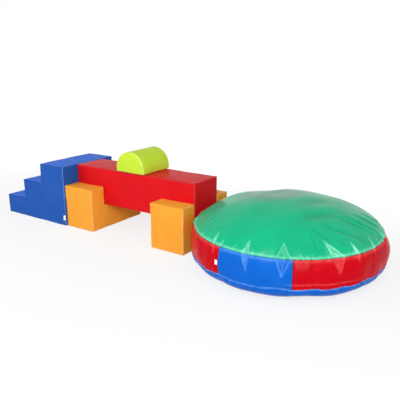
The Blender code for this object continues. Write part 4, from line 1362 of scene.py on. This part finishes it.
# The cushion
FLOOR_GAP = 0.0003
SEAM_OFFSETS = (0.0, 0.003, 0.007, 0.012, 0.018, 0.026, 0.035, 0.045)
DOME_OFFSETS = (0.0, 0.003, 0.007, 0.012, 0.018, 0.025, 0.033, 0.042, 0.051, 0.06, 0.07, 0.08, 0.09, 0.1,
                0.112, 0.126)
PROFILE = cushion_profile(26, 12, 13, 10, SEAM_OFFSETS, DOME_OFFSETS)
ANGLES = cushion_angles(1.1, 0.4)
SKIN, OUTWARD, PALE, SHADE = cushion_skin(*PROFILE, ANGLES)
fine_arc = distance_along(np.column_stack(PROFILE[:2]))
SKIN = SKIN + spread_moves(MOVES["cushion"], ANGLES, fine_arc)
SKIN[:, 0], SKIN[:, -1] = SKIN[:, 0].mean(axis=0), SKIN[:, -1].mean(axis=0)
# the band stays clear of the right cradle and the foot of the floor
SKIN = np.clip(SKIN, [CUSHION_LOW[0], -9, FLOOR_GAP], [9, 9, 9])
SKIN[:, PROFILE[1] < 0.004, 2] = FLOOR_GAP
TOP_RING, BASE_RING = PROFILE[2:4]
columns = list(range(len(ANGLES)))
side_gap = np.min([np.abs(np.radians(degrees_past(ANGLES, seam))) * TOP_SEAM_RADIUS
                   for seam in panel_seams()], axis=0)
on_band = (np.arange(len(fine_arc)) > TOP_RING) & (np.arange(len(fine_arc)) < BASE_RING)
top_gap, base_gap = np.abs(fine_arc - fine_arc[TOP_RING]), np.abs(fine_arc - fine_arc[BASE_RING])
# a darker colour along the top seam and the band's seams, partly grime and partly painted shade
seam_dust_and_shade = np.maximum(0.5 * np.exp(-(top_gap / 0.003) ** 2)[None, :],
                  0.3 * np.exp(-(side_gap / 0.004) ** 2)[:, None] * on_band[None, :])
# painted highlight along the rim just above the top seam and on the base seam
painted_rim_highlight = 0.7 * np.exp(-((top_gap - 0.010) / 0.008) ** 2) + 0.8 * np.exp(-(base_gap / 0.006) ** 2)
# the darker colour also carries the painted shade of the dome's folds, and the paler one the painted
# highlight of the pinches and the hem
SEAM_VALUES = np.maximum(seam_dust_and_shade * (1 - PALE), SHADE)
PAINTED_HIGHLIGHT_VALUES = np.maximum(painted_rim_highlight, PALE)


def cushion_panel(name, faces, finish, slot_name, *nodes):
    """One sewn panel of the cushion, cut from the whole skin and given the thickness of its cloth."""
    used, numbers, corners = {}, [], []
    for face in faces:
        row = []
        for column, ring in face:
            key = (0, ring) if ring in (0, SKIN.shape[1] - 1) else (column, ring)
            if key not in used:
                used[key] = len(corners)
                corners.append(key)
            if used[key] not in row:
                row.append(used[key])
        numbers.append(row[::-1])
    at = tuple(np.array(corners).T)
    panel = new_piece(name, SKIN[at], numbers, finish)
    keep_values(panel, "seam", SEAM_VALUES[at])
    keep_values(panel, "wear_and_highlight", PAINTED_HIGHLIGHT_VALUES[at])
    thick = panel.modifiers.new("thickness", "SOLIDIFY")
    thick.thickness = COVER_THICKNESS
    thick.offset = -1
    apply_modifiers(panel)
    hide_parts(*nodes)
    return panel


cushion_pieces = [
    cushion_panel("cushion_top_cover", ring_faces(columns, 0, TOP_RING, True), GREEN_GLOSS,
                  "green_gloss_vinyl", "cushion_top_panel", "cushion_filling"),
    cushion_panel("cushion_base_cover", ring_faces(columns, BASE_RING, len(fine_arc) - 1, True), BLUE_GLOSS,
                  "blue_gloss_vinyl", "cushion_base_panel"),
]
cut_zip_recess(cushion_pieces[1], "cushion", 0.0, CUSHION_ZIP_RECESS_DEPTH)
seam_columns = [int(np.argmin(np.abs(ANGLES - angle))) for angle in panel_seams()]
for index, start_column in enumerate(seam_columns):
    end_column = seam_columns[(index + 1) % len(seam_columns)]
    if end_column > start_column:
        panel_columns = columns[start_column:end_column + 1]
    else:
        panel_columns = columns[start_column:] + columns[:end_column + 1]
    colour, panel_finish = (("red", RED_GLOSS), ("blue", BLUE_GLOSS))[index % 2]
    number = index // 2 + 1
    cushion_pieces.append(cushion_panel(f"cushion_{colour}_cover_{number}",
                                        ring_faces(panel_columns, TOP_RING, BASE_RING, False), panel_finish,
                                        colour + "_gloss_vinyl", f"cushion_{colour}_panel_{number}"))
for piece in cushion_pieces:
    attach(piece, "cushion")

loop = columns + [0]
for ring, thread, slot_name, label in ((TOP_RING, "green", "green_gloss_vinyl", "top"),
                                       (BASE_RING, "blue", "blue_gloss_vinyl", "base")):
    row = stitches(f"cushion_{label}_stitching", [(SKIN[loop, ring], OUTWARD[loop, ring])], THREADS[thread])
    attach(row, "cushion")
band_rows = [(SKIN[column, TOP_RING:BASE_RING + 1], OUTWARD[column, TOP_RING:BASE_RING + 1])
             for column in seam_columns]
band_stitching = stitches("cushion_band_stitching", band_rows, THREADS["red"])
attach(band_stitching, "cushion")

LABEL_LOW, LABEL_HIGH = (np.array(corner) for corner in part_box("cushion_label"))
label_column = seam_columns[1]
label_ring = int(np.argmin(np.abs(SKIN[label_column, TOP_RING:BASE_RING, 2]
                                  - (LABEL_LOW[2] + LABEL_HIGH[2]) / 2 + 0.006))) + TOP_RING
seam_place = SKIN[label_column, label_ring] + OUTWARD[label_column, label_ring] * 0.0026
back_along = SKIN[label_column - 3, label_ring] - SKIN[label_column, label_ring]
back_along /= np.linalg.norm(back_along)
cushion_tab = folded_label("cushion_cloth_tab", seam_place, back_along, (0, 0, 1), 0.018, 0.030)
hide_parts("cushion_label")
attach(cushion_tab, "cushion")


# Floor, light and camera

# The white sheet under the course, in metres: how far it reaches and its level, just under the blocks
SHEET_REACH = 14
SHEET_LEVEL = -0.0004


def background_rays(tree):
    """1 for rays that see the background straight, in a shine or through glass, and 0 for all others."""
    rays = add(tree, "LightPath").outputs
    seen = rays["Is Camera Ray"]
    for kind in ("Is Glossy Ray", "Is Transmission Ray"):
        seen = add(tree, "Math", {**PLUS, "use_clamp": True}, {0: seen, 1: rays[kind]}).outputs[0]
    return seen


def pale_floor():
    """A white studio sheet: it goes to plain white away from the blocks and keeps their shadow near them."""
    finish, tree = new_finish("white_studio_sheet")
    paper = add(tree, "BsdfDiffuse", inputs={"Color": linear("F2F2F0")})
    glow = add(tree, "Emission", inputs={"Color": (1, 1, 1, 1), "Strength": 1.0})
    place = add(tree, "TexCoord").outputs["Object"]
    shortened = add(tree, "VectorMath", TIMES, {0: place, 1: (0.5, 1.0, 1.0)}).outputs[0]
    away = add(tree, "VectorMath", {"operation": "LENGTH"}, {0: shortened}).outputs["Value"]
    fade = add(tree, "MapRange", inputs={"Value": away, "From Min": 0.75, "From Max": 1.8, "To Min": 0.78})
    share = add(tree, "Math", TIMES, {0: fade.outputs[0], 1: background_rays(tree)})
    both = add(tree, "MixShader", inputs={0: share.outputs[0], 1: paper.outputs[0], 2: glow.outputs[0]})
    add(tree, "OutputMaterial", inputs={"Surface": both.outputs[0]})
    return finish


sheet = [(x * SHEET_REACH, y * SHEET_REACH, SHEET_LEVEL) for x, y in ((-1, -1), (1, -1), (1, 1), (-1, 1))]
floor = new_piece("studio_floor", sheet, [(0, 1, 2, 3)], pale_floor())

scene = bpy.context.scene
sky = bpy.data.worlds.new("studio")
scene.world = sky
sky.use_nodes = True
sky.node_tree.nodes.clear()
sky_strength = add(sky.node_tree, "MapRange",
                   inputs={"Value": background_rays(sky.node_tree), "To Min": 0.42})
sky_light = add(sky.node_tree, "Background", inputs={"Color": (1, 1, 1, 1),
                                                     "Strength": sky_strength.outputs[0]})
add(sky.node_tree, "OutputWorld", inputs={"Surface": sky_light.outputs[0]})


def soft_box(name, place, target, size, power, lights_matt=True):
    """A square soft box aimed at a point. One that doesn't light matt surfaces shows only in their shine."""
    lamp = bpy.data.lights.new(name, "AREA")
    lamp.shape = "SQUARE"
    lamp.size = size
    lamp.energy = power
    holder = bpy.data.objects.new(name, lamp)
    holder.location = place
    holder.rotation_euler = (Vector(target) - Vector(place)).to_track_quat("-Z", "Y").to_euler()
    holder.visible_camera = False
    holder.visible_diffuse = lights_matt
    scene.collection.objects.link(holder)


soft_box("key", (2.4, -4.3, 3.05), (0.1, 0.0, 0.25), 1.4, 155)
soft_box("left_fill", (-3.4, -3.6, 2.6), (-0.2, 0.0, 0.2), 2.0, 70)
soft_box("right_fill", (5.2, -1.6, 2.2), (0.4, 0.0, 0.2), 2.0, 42)
# panels that show only as shine along the cushion's rim and in its pinches
for name, place, size, power in (
        ("front_panel", (2.06, -3.56, 2.76), 3.0, 260), ("low_panel", (3.49, -3.74, 0.9), 1.5, 170),
        ("right_panel", (4.14, -2.02, 2.48), 2.2, 120), ("top_panel", (1.32, -1.5, 4.16), 0.9, 45)):
    soft_box(name, place, (1.2, -0.5, 0.3), size, power, False)

lens = bpy.data.cameras.new("view")
lens.lens = 46.64
lens.sensor_width = 36
camera = bpy.data.objects.new("view", lens)
camera.location = (2.362, -3.077, 1.3986)
camera.rotation_euler = (math.radians(74.08), 0, math.radians(34.34))
scene.collection.objects.link(camera)
scene.camera = camera
scene.view_settings.view_transform = "Standard"
